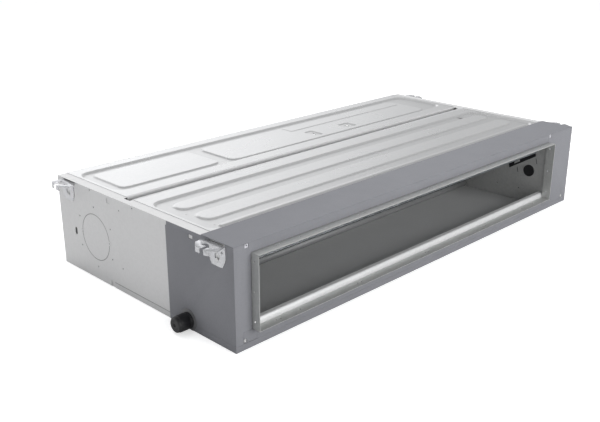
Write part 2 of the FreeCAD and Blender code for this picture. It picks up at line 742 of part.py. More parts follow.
def pipe_plate():
    """The plate that closes the piping opening round both pipes."""
    y0, y1, z0, z1 = piping_opening
    m = plate_margin
    plate = box(side_skin, side_skin + sheet, y0 - m, y1 + m, z0 - m, z1 + m)
    cuts = [rod((side_skin - 1, gas_y, gas_height), (1, 0, 0), gas_radius + lap, 4),
            rod((side_skin - 1, liquid_y, liquid_height), (1, 0, 0), liquid_radius + lap, 4)]
    cuts += [rod((side_skin - 1, y, z), (1, 0, 0), screw_hole_radius, 4)
             for y, z in margin_corners(piping_opening, plate_margin, cover_screw_inset)]
    return plate.cut(cuts)


# Drain pan and what belongs to it

pan_end_wall = 12.0
pan_before_deck = 20.0
pan_end = folded_side - sheet - lap
pan_front = front_skin + 2 * sheet + 2 * lap + sheet + lap
pan_rear = deck_y - pan_before_deck
seat_depth = 6.0


def drain_pan():
    """The foam drain pan: a floor with a rim all round, a sump by the drain and the drain's seat."""
    z0 = sheet + lap
    outer = prism_x([(pan_front, z0), (pan_rear, z0), (pan_rear, 30), (pan_front + 100, 30), (pan_front + 100, 50),
                     (pan_front + pan_rim, 50), (pan_front + pan_rim, lip_height - sheet - lap),
                     (pan_front + 5.6, lip_height - sheet - lap), (pan_front, 46)], -pan_end, pan_end)
    inside = pan_end - pan_end_wall
    basin = box(-inside, inside, pan_front + pan_rim, pan_rear - 15, pan_floor, 60)
    sump = box(-inside, -inside + 64, drain_y - 18, drain_y + 18, pan_floor - 2.5, pan_floor)
    seat = rod((-pan_end - 1, drain_y, drain_height), (1, 0, 0), drain_tube + lap, seat_depth + 1)
    bore = rod((-pan_end, drain_y, drain_height), (1, 0, 0), drain_bore, pan_end_wall + 1)
    return outer.cut([basin, sump, seat, bore])


def drain_lip():
    """The bright sheet hooked over the pan's front rim."""
    y0 = pan_front - sheet - lap
    y1 = pan_front + pan_rim + lap + sheet
    arc = [(y0 + 6.4 - 6.4 * math.cos(math.radians(a)), 44.5 + 13.5 * math.sin(math.radians(a)))
           for a in (75, 60, 45, 30, 15)]
    path = [(y1, 50), (y1, lip_height), (y0 + 6.4, lip_height)] + arc + [(y0, 44.5), (y0, 28)]
    reach = pan_end - pan_end_wall - lap
    return prism_x(folded_outline(path, sheet), -reach, reach)


def coil_support_rail():
    """The bent strip that stands in the pan and carries the coil's lower end."""
    y, z = coil_foot[0] - lean[0] * lap, coil_foot[1] - lean[1] * lap
    path = [(y + through[0] * 16, z + through[1] * 16), (y, z), (y, pan_floor + 0.1)]
    return prism_x(folded_outline(path, sheet), coil_left, coil_right - 2)


def drain_socket():
    """The drain pipe with its flange against the foam, flat at the bottom."""
    x0 = -pan_end + seat_depth - lap
    tube = rod((x0, drain_y, drain_height), (-1, 0, 0), drain_tube, x0 + side + 32)
    flange = rod((-side, drain_y, drain_height), (-1, 0, 0), 27, 1.5)
    floor = box(-side - 5, -side + 5, drain_y - 40, drain_y + 40, -20, 0)
    bore = rod((x0 + 1, drain_y, drain_height), (-1, 0, 0), drain_bore, unit_width)
    return fused([tube, flange.cut(floor)]).cut(bore)


def drain_cap():
    """The rubber cap on the drain pipe: a thick skirt, a slimmer rounded end and a dimple."""
    x0 = -side - 1.5 - lap
    skirt = rod((x0, drain_y, drain_height), (-1, 0, 0), cap_radius, cap_length - 8)
    end = rod((x0 - cap_length + 8, drain_y, drain_height), (-1, 0, 0), cap_radius - 1.4, 8)
    body = fused([skirt, end])
    tip = [e for e in body.Edges if abs(e.CenterOfMass.x - (x0 - cap_length)) < 0.1]
    body = body.makeFillet(3.6, tip)
    bore = rod((x0 + 1, drain_y, drain_height), (-1, 0, 0), drain_tube + 0.1, side + 32 + x0 + 2)
    dimple = rod((x0 - cap_length - 1, drain_y, drain_height), (1, 0, 0), 3.5, 3)
    return body.cut([bore, dimple])


# Wall of the pipe chamber

plug_place = (front + 60.0, 117.0)
plug_radius = 15.0


def pipe_chamber_wall():
    """The wall between the coil's air path and the pipes, open where the coil's tubes pass."""
    y0 = pan_front - sheet - lap
    y1 = deck_y - lap
    low = pan_front + pan_rim + 2 * lap + sheet
    top = pocket_floor - sheet - 0.5
    under_strip = top_skin - groove_depth - sheet - lap
    outline = [(y0, lip_height + 0.5), (low, lip_height + 0.5), (low, pan_floor + lap), (pan_rear - 15.3, pan_floor + lap),
               (pan_rear - 15.3, 30.3), (y1, 30.3), (y1, under_strip), (groove_y - 6, under_strip), (groove_y - 6, top), (y0, top)]
    plate = prism_x(outline, wall_x, wall_x + sheet)
    cuts = [prism_x(coil_rectangle(-2.5), wall_x - 1, wall_x + 2)]
    cuts.append(box(wall_x - 1, wall_x + 2, front_dent[2] - 1, front_dent[3] + 1, top - dent_depth, top + 1))
    holes = [(front + 168, 52.7), (front + 92, 52.7), (front + 182, 90.7)]
    cuts += [rod((wall_x - 1, y, z), (1, 0, 0), 2.0, 3) for y, z in holes]
    cuts.append(rod((wall_x - 1, plug_place[0], plug_place[1]), (1, 0, 0), plug_radius, 3))
    return plate.cut(cuts)


def wall_plug():
    """The rubber plug in the chamber wall: a head on the air side and a lip behind the sheet."""
    y, z = plug_place
    head = rod((wall_x, y, z), (-1, 0, 0), plug_radius + 3, 3.5)
    neck = rod((wall_x, y, z), (1, 0, 0), plug_radius, sheet)
    back = rod((wall_x + sheet, y, z), (1, 0, 0), plug_radius + 1.5, 2)
    return fused([head, neck, back]).cut(rod((wall_x + sheet - 1, y, z), (1, 0, 0), plug_radius - 4, 5))


# Fan deck and fans

mouth_low = 146.0
mouth_high = fan_height + 5.0 + scroll_start_radius + 2 * scroll_growth
deck_gap = deck_y + sheet + lap


def scroll_centres():
    """The X of the four scroll housings, from left to right."""
    return [fan_middle + sx * fan_set_pitch / 2 + s * fan_arm for sx in (-1, 1) for s in (-1, 1)]


def fan_deck_partition():
    """The wall between the fans and the coil, with a window for each scroll and the strip under the groove."""
    z1 = top_skin - groove_depth - sheet
    plate = box(-folded_side, folded_side, deck_y, deck_y + sheet, sheet + lap, z1)
    strip = box(-folded_side, folded_side, groove_y - 5, groove_y + groove_width + 5, z1, z1 + sheet)
    half = scroll_half_width - scroll_wall
    windows = [box(x - half, x + half, deck_y - 1, deck_y + sheet + 1, mouth_low + 2, mouth_high) for x in scroll_centres()]
    corners = [box(s * folded_side - 1.3, s * folded_side + 1.3, deck_y - 1, deck_y + 2, 0, tray_gap + sheet + lap) for s in (-1, 1)]
    return fused([plate, strip]).cut(windows + corners)


def arc_edge(centre, radius, a0, a1):
    """An arc in the (y, z) plane at x = 0 between two angles in degrees."""
    points = []
    for a in (a0, (a0 + a1) / 2, a1):
        r = math.radians(a)
        points.append(V(0, centre[0] + radius * math.cos(r), centre[1] + radius * math.sin(r)))
    return Part.Arc(*points).toShape(), points[0], points[2]


def volute(grow, y_mouth, low, tongue_angle):
    """The scroll's outline, grown by a wall: three arcs of rising radius and a straight mouth."""
    step = scroll_growth / 2
    a, first, _ = arc_edge((fan_y + step, fan_height - step), scroll_start_radius + grow, tongue_angle, 270)
    b, _, _ = arc_edge((fan_y + step, fan_height + step), scroll_start_radius + scroll_growth + grow, 270, 360)
    c, _, last = arc_edge((fan_y - step, fan_height + step), scroll_start_radius + 2 * scroll_growth + grow, 0, 90)
    mouth = [last, V(0, y_mouth, last.z), V(0, y_mouth, low), first]
    sides = [Part.LineSegment(p, q).toShape() for p, q in zip(mouth, mouth[1:])]
    return Part.Face(Part.Wire([a, b, c] + sides))


def scroll_housing():
    """A scroll housing about x = 0, hollow, with a bell-mouthed inlet on both sides and a mouth flange."""
    half = scroll_half_width
    outer = volute(scroll_wall, deck_gap, mouth_low - scroll_wall, 152.5).extrude(V(2 * half, 0, 0))
    outer.translate(V(-half, 0, 0))
    inner_half = half - scroll_wall
    inner = volute(0, deck_gap - 1, mouth_low - 0.2, 150).extrude(V(2 * inner_half, 0, 0))
    inner.translate(V(-inner_half, 0, 0))
    flange = box(-half - 8, half + 8, deck_gap, deck_gap + 2, mouth_low - 10, mouth_high + 3)
    seam = box(-half, half, fan_y + 105, fan_y + 113, fan_height - 2, fan_height + 2)
    lips = [rod((s * (half - 6), fan_y, fan_height), (s, 0, 0), scroll_inlet_radius + 2, 6) for s in (-1, 1)]
    shell = fused([outer, flange, seam]).cut(inner)
    shell = fused([shell] + lips)
    return shell.cut(rod((-half - 1, fan_y, fan_height), (1, 0, 0), scroll_inlet_radius, 2 * half + 2))


def scroll_half(upper):
    """The upper or lower half of the scroll housing."""
    z0 = fan_height if upper else 0
    z1 = unit_height if upper else fan_height
    return scroll_housing().common(box(-wheel_width, wheel_width, deck_y, rear, z0, z1))


def placed_at(shape, xs):
    """Copies of a shape at several X places, as one compound."""
    copies = []
    for x in xs:
        piece = shape.copy()
        piece.translate(V(x, 0, 0))
        copies.append(piece)
    return Part.makeCompound(copies)


blade_root = 64.0
blade_sheet_angle = 1.3
blade_sweep = 12.0
hub_radius = 14.0
hub_length = 30.0
rim_width = 4.0


def blade(turn):
    """One forward-curved blade, its tip leading in the turning direction."""
    def at(radius, angle):
        r = math.radians(turn + angle)
        return V(-wheel_width / 2, fan_y + radius * math.cos(r), fan_height + radius * math.sin(r))
    middle = (blade_root + wheel_radius) / 2
    face = Part.Arc(at(blade_root, 0), at(middle, blade_sweep * 0.3), at(wheel_radius, blade_sweep)).toShape()
    back = Part.Arc(at(wheel_radius, blade_sweep - blade_sheet_angle), at(middle, blade_sweep * 0.3 - blade_sheet_angle),
                    at(blade_root, -blade_sheet_angle)).toShape()
    tip = Part.LineSegment(at(wheel_radius, blade_sweep), at(wheel_radius, blade_sweep - blade_sheet_angle)).toShape()
    root = Part.LineSegment(at(blade_root, -blade_sheet_angle), at(blade_root, 0)).toShape()
    return Part.Face(Part.Wire([face, tip, back, root])).extrude(V(wheel_width, 0, 0))


def fan_wheel():
    """A double-inlet blower wheel about x = 0: centre disc with its hub, blades and two end rims."""
    half = wheel_width / 2
    disc = rod((-1, fan_y, fan_height), (1, 0, 0), blade_root + 8, 2)
    hub = rod((-hub_length / 2, fan_y, fan_height), (1, 0, 0), hub_radius, hub_length)
    rims = []
    for x in (-half, half - rim_width):
        rim = rod((x, fan_y, fan_height), (1, 0, 0), wheel_radius + 0.6, rim_width)
        rims.append(rim.cut(rod((x - 1, fan_y, fan_height), (1, 0, 0), wheel_radius - 5, rim_width + 2)))
    blades = [blade(360.0 * k / blade_count) for k in range(blade_count)]
    wheel = disc.multiFuse([hub] + rims + blades)
    return wheel.cut(rod((-half, fan_y, fan_height), (1, 0, 0), shaft_radius, wheel_width))


def fan_set_middles():
    """The X of the two motors."""
    return [fan_middle - fan_set_pitch / 2, fan_middle + fan_set_pitch / 2]


def fan_shaft(x):
    """The shaft through a motor to both of its wheels."""
    reach = fan_arm + hub_length / 2 + 5
    return rod((x - reach, fan_y, fan_height), (1, 0, 0), shaft_radius, 2 * reach)


def fan_motor(x):
    """A double-ended fan motor: a chamfered can with a steel band, a boss at each end and a lead box."""
    half = motor_half_length
    body = rod((x - half, fan_y, fan_height), (1, 0, 0), motor_radius, 2 * half)
    ends = [e for e in body.Edges if abs(abs(e.CenterOfMass.x - x) - half) < 0.1]
    body = body.makeChamfer(8, ends)
    band = rod((x - 20, fan_y, fan_height), (1, 0, 0), motor_radius + 1.5, 40)
    boss = rod((x - half - 12, fan_y, fan_height), (1, 0, 0), boss_radius, 2 * half + 24)
    leads = box(x - 18, x + 18, fan_y - 14, fan_y + 14, fan_height + motor_radius - 4, fan_height + motor_radius + 12)
    bore = rod((x - 100, fan_y, fan_height), (1, 0, 0), shaft_radius + shaft_clearance, 200)
    return fused([body, band, boss, leads]).cut(bore)


def motor_rubber_rings():
    """The rubber rings between the motors' bosses and their brackets."""
    rings = []
    for x in fan_set_middles():
        for s in (-1, 1):
            x0 = x + s * 55 - 4
            ring = rod((x0, fan_y, fan_height), (1, 0, 0), ring_radius, 8)
            rings.append(ring.cut(rod((x0 - 1, fan_y, fan_height), (1, 0, 0), boss_radius, 10)))
    return Part.makeCompound(rings)


def motor_bracket(x):
    """A U-shaped bracket from the partition with two arms beside the motor."""
    back = box(x - 56, x + 56, deck_gap, deck_gap + 2, fan_height - 52, fan_height + 52)
    arms = []
    for s in (-1, 1):
        x0 = x + s * 55 - 1
        arm = prism_x([(deck_gap, fan_height - 52), (fan_y + 30, fan_height - 32), (fan_y + 30, fan_height + 32),
                       (deck_gap, fan_height + 52)], x0, x0 + 2)
        arms.append(arm)
    return fused([back] + arms).cut(rod((x - 70, fan_y, fan_height), (1, 0, 0), ring_radius, 140))


# Return side

return_left = -side + 20.0
return_right = side - 152.0
return_bottom = return_sill
return_top = unit_height - return_top_drop
filter_slot_half = filter_thickness / 2 + lap
rail_wall = 1.5
filter_bottom = 2.0
filter_height = 224.0
filter_split = (return_left + return_right) / 2
rail_web = 5.4


def return_air_frame():
    """The rear sheet with the return opening and its duct collar."""
    y0 = rear_skin - sheet
    inner = (return_left, return_right, return_bottom, return_top)
    plate = ring_frame(-side_skin, side_skin, y0, rear_skin, 0, top_under, inner)
    outer = (return_left - sheet, return_right + sheet, return_bottom - sheet, return_top + sheet)
    duct = ring_frame(outer[0], outer[1], y0, rear + return_reach, outer[2], outer[3], inner)
    sill = box(-folded_side, folded_side, filter_y + filter_slot_half + rail_wall + lap, y0, 0, sheet)
    top = box(-side + flange_reach + lap, side - flange_reach - lap, y0 - 12, y0, flange_under, top_under)
    screws = [(s * return_screw_x, rear_skin + 1, z) for s in (-1, 1) for z in return_screw_heights]
    hole_y = rear + 8.0
    middle = (return_left + return_right) / 2
    tall = [(middle + k * duct_hole_pitch, hole_y, return_bottom - 2) for k in (-2, -1, 0, 1, 2)]
    cuts = [rods(screws, (0, -1, 0), screw_hole_radius, 4), rods(tall, (0, 0, 1), duct_hole_radius, unit_height)]
    return fused([plate, duct, sill, top]).cut(cuts)


def filter_rails():
    """The three upright guides of the filters: one at each end and one between."""
    y0 = filter_y - filter_slot_half - rail_wall
    y1 = rear_skin - sheet
    z0, z1 = sheet + lap, filter_bottom + filter_height + 4
    left = box(return_left - 6.5, return_left + 3, y0, y1, z0, z1)
    middle = box(filter_split - 9, filter_split + 9, y0, y1, z0, z1)
    right = box(return_right - 3, return_right + 15, y0, y1, z0, z1)
    slot0, slot1 = filter_y - filter_slot_half, filter_y + filter_slot_half
    half = rail_web / 2
    cuts = [box(return_left - 3 - lap, filter_split - half, slot0, slot1, z0 - 1, z1 - 3),
            box(filter_split + half, return_right + 3 + lap, slot0, slot1, z0 - 1, z1 - 3)]
    cuts.append(box(-side, -side + 17 + lap, side_rear - sheet - lap, rear, 0, unit_height))
    return Part.makeCompound([r.cut(cuts) for r in (left, middle, right)])


def filter_span(left):
    """The X range of one filter."""
    if left:
        return return_left - 3, filter_split - rail_web / 2 - lap
    return filter_split + rail_web / 2 + lap, return_right + 3


def filter_grid(left):
    """A filter's frame with its cross bars and a pull tab at the bottom."""
    x0, x1 = filter_span(left)
    z0, z1 = filter_bottom, filter_bottom + filter_height
    half = filter_thickness / 2
    b = filter_frame
    frame = ring_frame(x0, x1, filter_y - half, filter_y + half, z0, z1, (x0 + b, x1 - b, z0 + b, z1 - b))
    third = (x1 - x0) / 3
    bars = [box(x0 + k * third - 2, x0 + k * third + 2, filter_y - half, filter_y + half, z0 + b, z1 - b) for k in (1, 2)]
    bars.append(box(x0 + b, x1 - b, filter_y - half, filter_y + half, (z0 + z1) / 2 - 2, (z0 + z1) / 2 + 2))
    groove = box(x0 + b - 4, x1 - b + 4, filter_y - 0.4, filter_y + 0.4, z0 + b - 4, z1 - b + 4)
    grip = rod(((x0 + x1) / 2, filter_y - 10, z0 + 6), (0, 1, 0), 3.5, 20)
    return fused([frame] + bars).cut([groove, grip])


def filter_mesh(left):
    """The filter's mesh, held in its frame's groove."""
    x0, x1 = filter_span(left)
    b = filter_frame - 4
    return box(x0 + b, x1 - b, filter_y - 0.4, filter_y + 0.4, filter_bottom + b, filter_bottom + filter_height - b)


# Wiring

box_depth = 57.0
box_wall = 1.0
box_rim = 5.0
box_top = unit_height - 13.0
standoff = 5.0
board_thickness = 1.6
board_size = (rear - 240.0, rear - 120.0, 45.0, 160.0)
block_size = (rear - 100.0, rear - 50.0, 50.0, 150.0)


def electrical_box():
    """The wiring box behind the right side sheet, open to the side, with posts for the board."""
    y0, y1, z0, _ = wiring_opening
    x1 = inner_side
    x0 = x1 - box_depth
    outer = box(x0, x1, y0 - box_rim, y1 + box_rim, z0 - box_rim, box_top)
    w = box_wall
    shape = outer.cut(box(x0 + w, x1 + 1, y0 - box_rim + w, y1 + box_rim - w, z0 - box_rim + w, box_top - w))
    posts = [rod((x0 + w, y, z), (1, 0, 0), 3.0, standoff)
             for y in (board_size[0] + 6, board_size[1] - 6) for z in (board_size[2] + 6, board_size[3] - 6)]
    return fused([shape] + posts)


def electrical_cover():
    """The plate over the wiring opening."""
    y0, y1, z0, z1 = wiring_opening
    m = cover_margin
    plate = box(side_skin, side_skin + sheet, y0 - m, y1 + m, z0 - m, z1 + m)
    holes = [rod((side_skin - 1, y, z), (1, 0, 0), screw_hole_radius, 4)
             for y, z in margin_corners(wiring_opening, cover_margin, cover_screw_inset)]
    return plate.cut(holes)


def control_board():
    """The control board with its relays, transformer and plugs."""
    x = inner_side - box_depth + box_wall + standoff
    y0, y1, z0, z1 = board_size
    board = box(x, x + board_thickness, y0, y1, z0, z1)
    blocks = [(12, 20, 14, 30, 16), (42, 20, 14, 30, 16), (72, 30, 14, 34, 26), (15, 15, 60, 40, 12),
              (45, 12, 66, 12, 10), (66, 34, 56, 10, 9), (16, 60, 102, 8, 11), (88, 12, 98, 12, 18)]
    parts = [box(x + board_thickness, x + board_thickness + h, y0 + a, y0 + a + b, z0 + c, z0 + c + d)
             for a, b, c, d, h in blocks]
    cans = [rod((x + board_thickness, y0 + a, z0 + c), (1, 0, 0), 7.0, 22) for a, c in ((106, 70), (106, 88))]
    return fused([board] + parts + cans)


def terminal_block():
    """The terminal block: a stepped strip with a screw in each bay."""
    x0 = inner_side - box_depth + box_wall
    y0, y1, z0, z1 = block_size
    body = box(x0, x0 + 14, y0, y1, z0, z1)
    bays = 5
    pitch = (z1 - z0) / bays
    walls = [box(x0 + 14, x0 + 24, y0, y1, z0 + k * pitch - 1, z0 + k * pitch + 1) for k in range(1, bays)]
    walls += [box(x0 + 14, x0 + 24, y0, y1, z0, z0 + 2), box(x0 + 14, x0 + 24, y0, y1, z1 - 2, z1)]
    screws = [rod((x0 + 14, y, z0 + (k + 0.5) * pitch), (1, 0, 0), 4.0, 4) for k in range(bays) for y in (y0 + 13, y1 - 13)]
    return fused([body] + walls + screws)


def cable_glands():
    """The rubber grommets of the two cable entries."""
    glands = []
    for y, z in gland_centres:
        head = rod((side_skin, y, z), (1, 0, 0), gland_radius + 3, 2)
        neck = rod((side_skin, y, z), (-1, 0, 0), gland_radius, 3)
        glands.append(fused([head, neck]).cut(rod((side_skin - 5, y, z), (1, 0, 0), gland_radius - 3, 10)))
    return Part.makeCompound(glands)


# Screws

def screw(head_face, direction, shank):
    """A pan-head screw: head on the near side of the face, shank into it."""
    d = V(*direction)
    base = V(*head_face)
    head = Part.makeCylinder(screw_head_radius, screw_head_height, base, d * -1)
    stem = Part.makeCylinder(screw_shank_radius, shank, base, d)
    return fused([head, stem])


def casing_screws():
    """All the casing's visible screws: brackets, front corners, return frame and the two cover plates."""
    screws = []
    for s in (-1, 1):
        for sy in (-1, 1):
            place = (s * (side_skin + bracket_sheet), sy * (bracket_y - keyhole_y), fork_top - keyhole_drop)
            screws.append(screw(place, (-s, 0, 0), screw_shank))
        screws.append(screw((s * front_screw_x, front_skin, front_screw_z), (0, 1, 0), front_screw_shank))
        for z in return_screw_heights:
            screws.append(screw((s * return_screw_x, rear_skin, z), (0, -1, 0), screw_shank))
    corners = margin_corners(wiring_opening, cover_margin, cover_screw_inset)
    corners += margin_corners(piping_opening, plate_margin, cover_screw_inset)
    screws += [screw((side_skin + sheet, y, z), (-1, 0, 0), screw_shank) for y, z in corners]
    return Part.makeCompound(screws)


# Assembly

centres = scroll_centres()
motors = fan_set_middles()
hanger = bracket_front_left()
lower_half = scroll_half(False)
upper_half = scroll_half(True)
wheel = fan_wheel()

nodes = {
    "left_side_panel": left_side_panel(),
    "right_side_panel": right_side_panel(),
    "front_top_cover": front_top_cover(),
    "rear_top_cover": rear_top_cover(),
    "front_bottom_cover": front_bottom_cover(),
    "rear_bottom_cover": rear_bottom_cover(),
    "outlet_face_frame": outlet_face_frame(),
    "outlet_collar": outlet_collar(),
    "return_air_frame": return_air_frame(),
    "fan_deck_partition": fan_deck_partition(),
    "pipe_chamber_wall": pipe_chamber_wall(),
    "wall_plug": wall_plug(),
    "fresh_air_knockout": fresh_air_knockout(),
    "foam_skin_top": foam_skin_top(),
    "foam_skin_left": foam_skin_left(),
    "foam_skin_right": foam_skin_right(),
    "foam_skin_front": foam_skin_front(),
    "bracket_front_left": hanger,
    "bracket_front_right": mirrored_x(hanger),
    "bracket_rear_left": mirrored_y(hanger),
    "bracket_rear_right": mirrored_x(mirrored_y(hanger)),
    "casing_screws": casing_screws(),
    "coil_fin_pack": coil_fin_pack(),
    "coil_end_plates": coil_end_plates(),
    "coil_return_bends": coil_return_bends(),
    "coil_gas_header": coil_gas_header(),
    "coil_liquid_distributor": coil_liquid_distributor(),
    "coil_support_rail": coil_support_rail(),
    "gas_pipe": gas_pipe(),
    "liquid_pipe": liquid_pipe(),
    "flare_nuts": flare_nuts(),
    "pipe_plate": pipe_plate(),
    "drain_pan": drain_pan(),
    "drain_lip": drain_lip(),
    "drain_socket": drain_socket(),
    "drain_cap": drain_cap(),
    "scroll_lower_halves_left": placed_at(lower_half, centres[:2]),
    "scroll_upper_halves_left": placed_at(upper_half, centres[:2]),
    "scroll_lower_halves_right": placed_at(lower_half, centres[2:]),
    "scroll_upper_halves_right": placed_at(upper_half, centres[2:]),
    "fan_motor_left": fan_motor(motors[0]),
    "fan_motor_right": fan_motor(motors[1]),
    "motor_brackets": Part.makeCompound([motor_bracket(x) for x in motors]),
    "motor_rubber_rings": motor_rubber_rings(),
    "fan_shaft_left": fan_shaft(motors[0]),
    "fan_shaft_right": fan_shaft(motors[1]),
    "filter_rails": filter_rails(),
    "filter_frame_left": filter_grid(True),
    "filter_mesh_left": filter_mesh(True),
    "filter_frame_right": filter_grid(False),
    "filter_mesh_right": filter_mesh(False),
    "electrical_box": electrical_box(),
    "electrical_cover": electrical_cover(),
    "control_board": control_board(),
    "terminal_block": terminal_block(),
    "cable_glands": cable_glands(),
}
for number, x in enumerate(centres, 1):
    nodes["fan_wheel_" + str(number)] = placed_at(wheel, [x])

os.makedirs("parts", exist_ok=True)
for name, shape in nodes.items():
    shape.exportStep("parts/" + name + ".step")
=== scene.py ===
# %% [markdown]
# # A ducted air conditioner indoor unit
# The object is a flat steel box that hangs above a ceiling: air comes in at the back, two pairs of
# blowers push it through a leaning coil, and it leaves through a sheet-metal collar at the front.
# The exact solids come from the CAD frame. This lesson gives them their finishes, and adds the
# pieces whose surfaces are too fine or too soft for the CAD: pressed covers, fins, screws, a net.

# %% Load the frame
import math
import bmesh
import bpy
import numpy as np
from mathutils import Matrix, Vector


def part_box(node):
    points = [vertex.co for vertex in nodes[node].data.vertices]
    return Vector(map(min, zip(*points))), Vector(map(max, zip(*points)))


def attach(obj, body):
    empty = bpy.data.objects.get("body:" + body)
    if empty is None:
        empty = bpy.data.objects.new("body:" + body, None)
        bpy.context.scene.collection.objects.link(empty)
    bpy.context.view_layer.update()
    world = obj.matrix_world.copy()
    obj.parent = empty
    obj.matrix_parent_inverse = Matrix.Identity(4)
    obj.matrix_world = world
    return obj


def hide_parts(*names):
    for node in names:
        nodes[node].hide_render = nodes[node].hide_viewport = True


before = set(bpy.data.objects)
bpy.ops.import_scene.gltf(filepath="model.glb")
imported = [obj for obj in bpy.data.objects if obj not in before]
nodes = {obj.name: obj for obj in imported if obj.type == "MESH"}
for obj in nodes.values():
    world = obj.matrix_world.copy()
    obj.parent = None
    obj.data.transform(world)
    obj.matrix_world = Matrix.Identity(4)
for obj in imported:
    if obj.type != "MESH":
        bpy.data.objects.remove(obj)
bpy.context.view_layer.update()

# %% [markdown]
# ## Surfaces as whole arrays
# Every new piece here is a grid of points: one parameter runs along the piece, the other across it.
# A grid could be built point by point, but a whole array is shorter and faster, and the quads
# follow from its shape alone. A mask leaves quads out where the sheet has a hole.

# %% A grid of points becomes a mesh
MM = 0.001


def grid_faces(rows, columns, close_rows=False, close_columns=False, mask=None):
    """Quads of a grid: each joins a point to its next along both directions; closing wraps round."""
    index = np.arange(rows * columns).reshape(rows, columns)
    if close_rows:
        index = np.vstack([index, index[:1]])
    if close_columns:
        index = np.hstack([index, index[:, :1]])
    a, b = index[:-1, :-1], index[:-1, 1:]
    c, d = index[1:, 1:], index[1:, :-1]
    quads = np.stack([a, b, c, d], axis=-1)
    return quads[mask] if mask is not None else quads.reshape(-1, 4)


def make_piece(name, points, faces, smooth=True):
    """Puts points in millimetres and faces into a mesh object at the origin, without unused points."""
    used, inverse = np.unique(faces, return_inverse=True)
    mesh = bpy.data.meshes.new(name)
    mesh.from_pydata((points.reshape(-1, 3)[used] * MM).tolist(), [], inverse.reshape(faces.shape).tolist())
    mesh.polygons.foreach_set("use_smooth", [smooth] * len(mesh.polygons))
    mesh.update()
    piece = bpy.data.objects.new(name, mesh)
    bpy.context.scene.collection.objects.link(piece)
    return piece


def repeated(points, faces, places):
    """One small shape at many places: its points plus each place, its faces counted on."""
    count = points.reshape(-1, 3).shape[0]
    every = places[:, None, :] + points.reshape(1, -1, 3)
    shifted = faces[None, :, :] + count * np.arange(len(places))[:, None, None]
    return every.reshape(-1, 3), shifted.reshape(-1, faces.shape[1])


# %% [markdown]
# ## Bare zinc-coated sheet
# The casing is plain galvanised steel: pale grey, a little glossy, with faint crystals and clouds.
# A metal shader alone would mirror the studio, so this mix is mostly a soft grey with some metal in
# it. The crystals come from Voronoi cells, the clouds in colour and gloss from wide noise, and a
# faint grain from fine noise.
# Outer sheets, folds, brackets and the collar differ in tone and in how much they mirror. The
# fold's and the rail's darker zinc and the covers' darkening in their hollows are painted shade.

# %% A small helper for node materials
def new_material(name):
    """An empty Principled material with its tree, its shader and one Object coordinate."""
    material = bpy.data.materials.new(name)
    material.use_nodes = True
    tree = material.node_tree
    shader = tree.nodes["Principled BSDF"]
    place = tree.nodes.new("ShaderNodeTexCoord").outputs["Object"]
    return material, tree, shader, place


def noise(tree, place, scale, detail=3.0, roughness=0.5, stretch=(1, 1, 1)):
    """Fractal noise of a given scale per metre, stretched along the axes."""
    node = tree.nodes.new("ShaderNodeTexNoise")
    node.inputs["Scale"].default_value = scale
    node.inputs["Detail"].default_value = detail
    node.inputs["Roughness"].default_value = roughness
    mapping = tree.nodes.new("ShaderNodeMapping")
    mapping.inputs["Scale"].default_value = stretch
    tree.links.new(place, mapping.inputs["Vector"])
    tree.links.new(mapping.outputs["Vector"], node.inputs["Vector"])
    return node.outputs["Fac"]


def spread(tree, value, low, high, start=0.3, end=0.7):
    """Turns a 0 to 1 pattern into a value between low and high."""
    node = tree.nodes.new("ShaderNodeMapRange")
    node.inputs["From Min"].default_value = start
    node.inputs["From Max"].default_value = end
    node.inputs["To Min"].default_value = low
    node.inputs["To Max"].default_value = high
    tree.links.new(value, node.inputs["Value"])
    return node.outputs["Result"]


def tint(tree, value, dark, light):
    """Mixes two colours by a pattern."""
    node = tree.nodes.new("ShaderNodeMix")
    node.data_type = "RGBA"
    node.inputs[6].default_value = (*dark, 1)
    node.inputs[7].default_value = (*light, 1)
    tree.links.new(value, node.inputs[0])
    return node.outputs[2]


def raised(tree, shader, height, distance, strength=1.0):
    """Bump from a height pattern; distance is in metres."""
    node = tree.nodes.new("ShaderNodeBump")
    node.inputs["Distance"].default_value = distance
    node.inputs["Strength"].default_value = strength
    tree.links.new(height, node.inputs["Height"])
    tree.links.new(node.outputs["Normal"], shader.inputs["Normal"])


# %% Zinc finish
def zinc(name, dark, light, metallic, rough_low, rough_high, painted_shade_below=None):
    """Galvanised sheet: crystals and clouds in the colour, patches in the gloss.

    With the last argument, two heights in metres, the colour darkens towards the lower one: painted shade
    of a hollow.
    """
    material, tree, shader, place = new_material(name)
    cells = tree.nodes.new("ShaderNodeTexVoronoi")
    cells.inputs["Scale"].default_value = 170.0
    tree.links.new(place, cells.inputs["Vector"])
    crystal = tree.nodes.new("ShaderNodeSeparateColor")
    tree.links.new(cells.outputs["Color"], crystal.inputs["Color"])
    clouds = noise(tree, place, 4.0, 3.0, 0.5)
    blend = tree.nodes.new("ShaderNodeMix")
    blend.inputs[0].default_value = 0.6
    tree.links.new(crystal.outputs["Red"], blend.inputs[2])
    tree.links.new(clouds, blend.inputs[3])
    colour = tint(tree, spread(tree, blend.outputs[0], 0, 1), dark, light)
    # painted shade: the colour is scaled down with height, towards the lower of the two heights
    if painted_shade_below is not None:
        level = tree.nodes.new("ShaderNodeSeparateXYZ")
        tree.links.new(place, level.inputs["Vector"])
        hollow_painted_shade = spread(tree, level.outputs["Z"], 0.38, 1.0, *painted_shade_below)
        shade = tree.nodes.new("ShaderNodeVectorMath")
        shade.operation = "SCALE"
        tree.links.new(colour, shade.inputs["Vector"])
        tree.links.new(hollow_painted_shade, shade.inputs["Scale"])
        colour = shade.outputs["Vector"]
    tree.links.new(colour, shader.inputs["Base Color"])
    tree.links.new(spread(tree, clouds, rough_low, rough_high), shader.inputs["Roughness"])
    shader.inputs["Metallic"].default_value = metallic
    raised(tree, shader, noise(tree, place, 120.0, 1.0), 0.00001, 0.1)
    return material
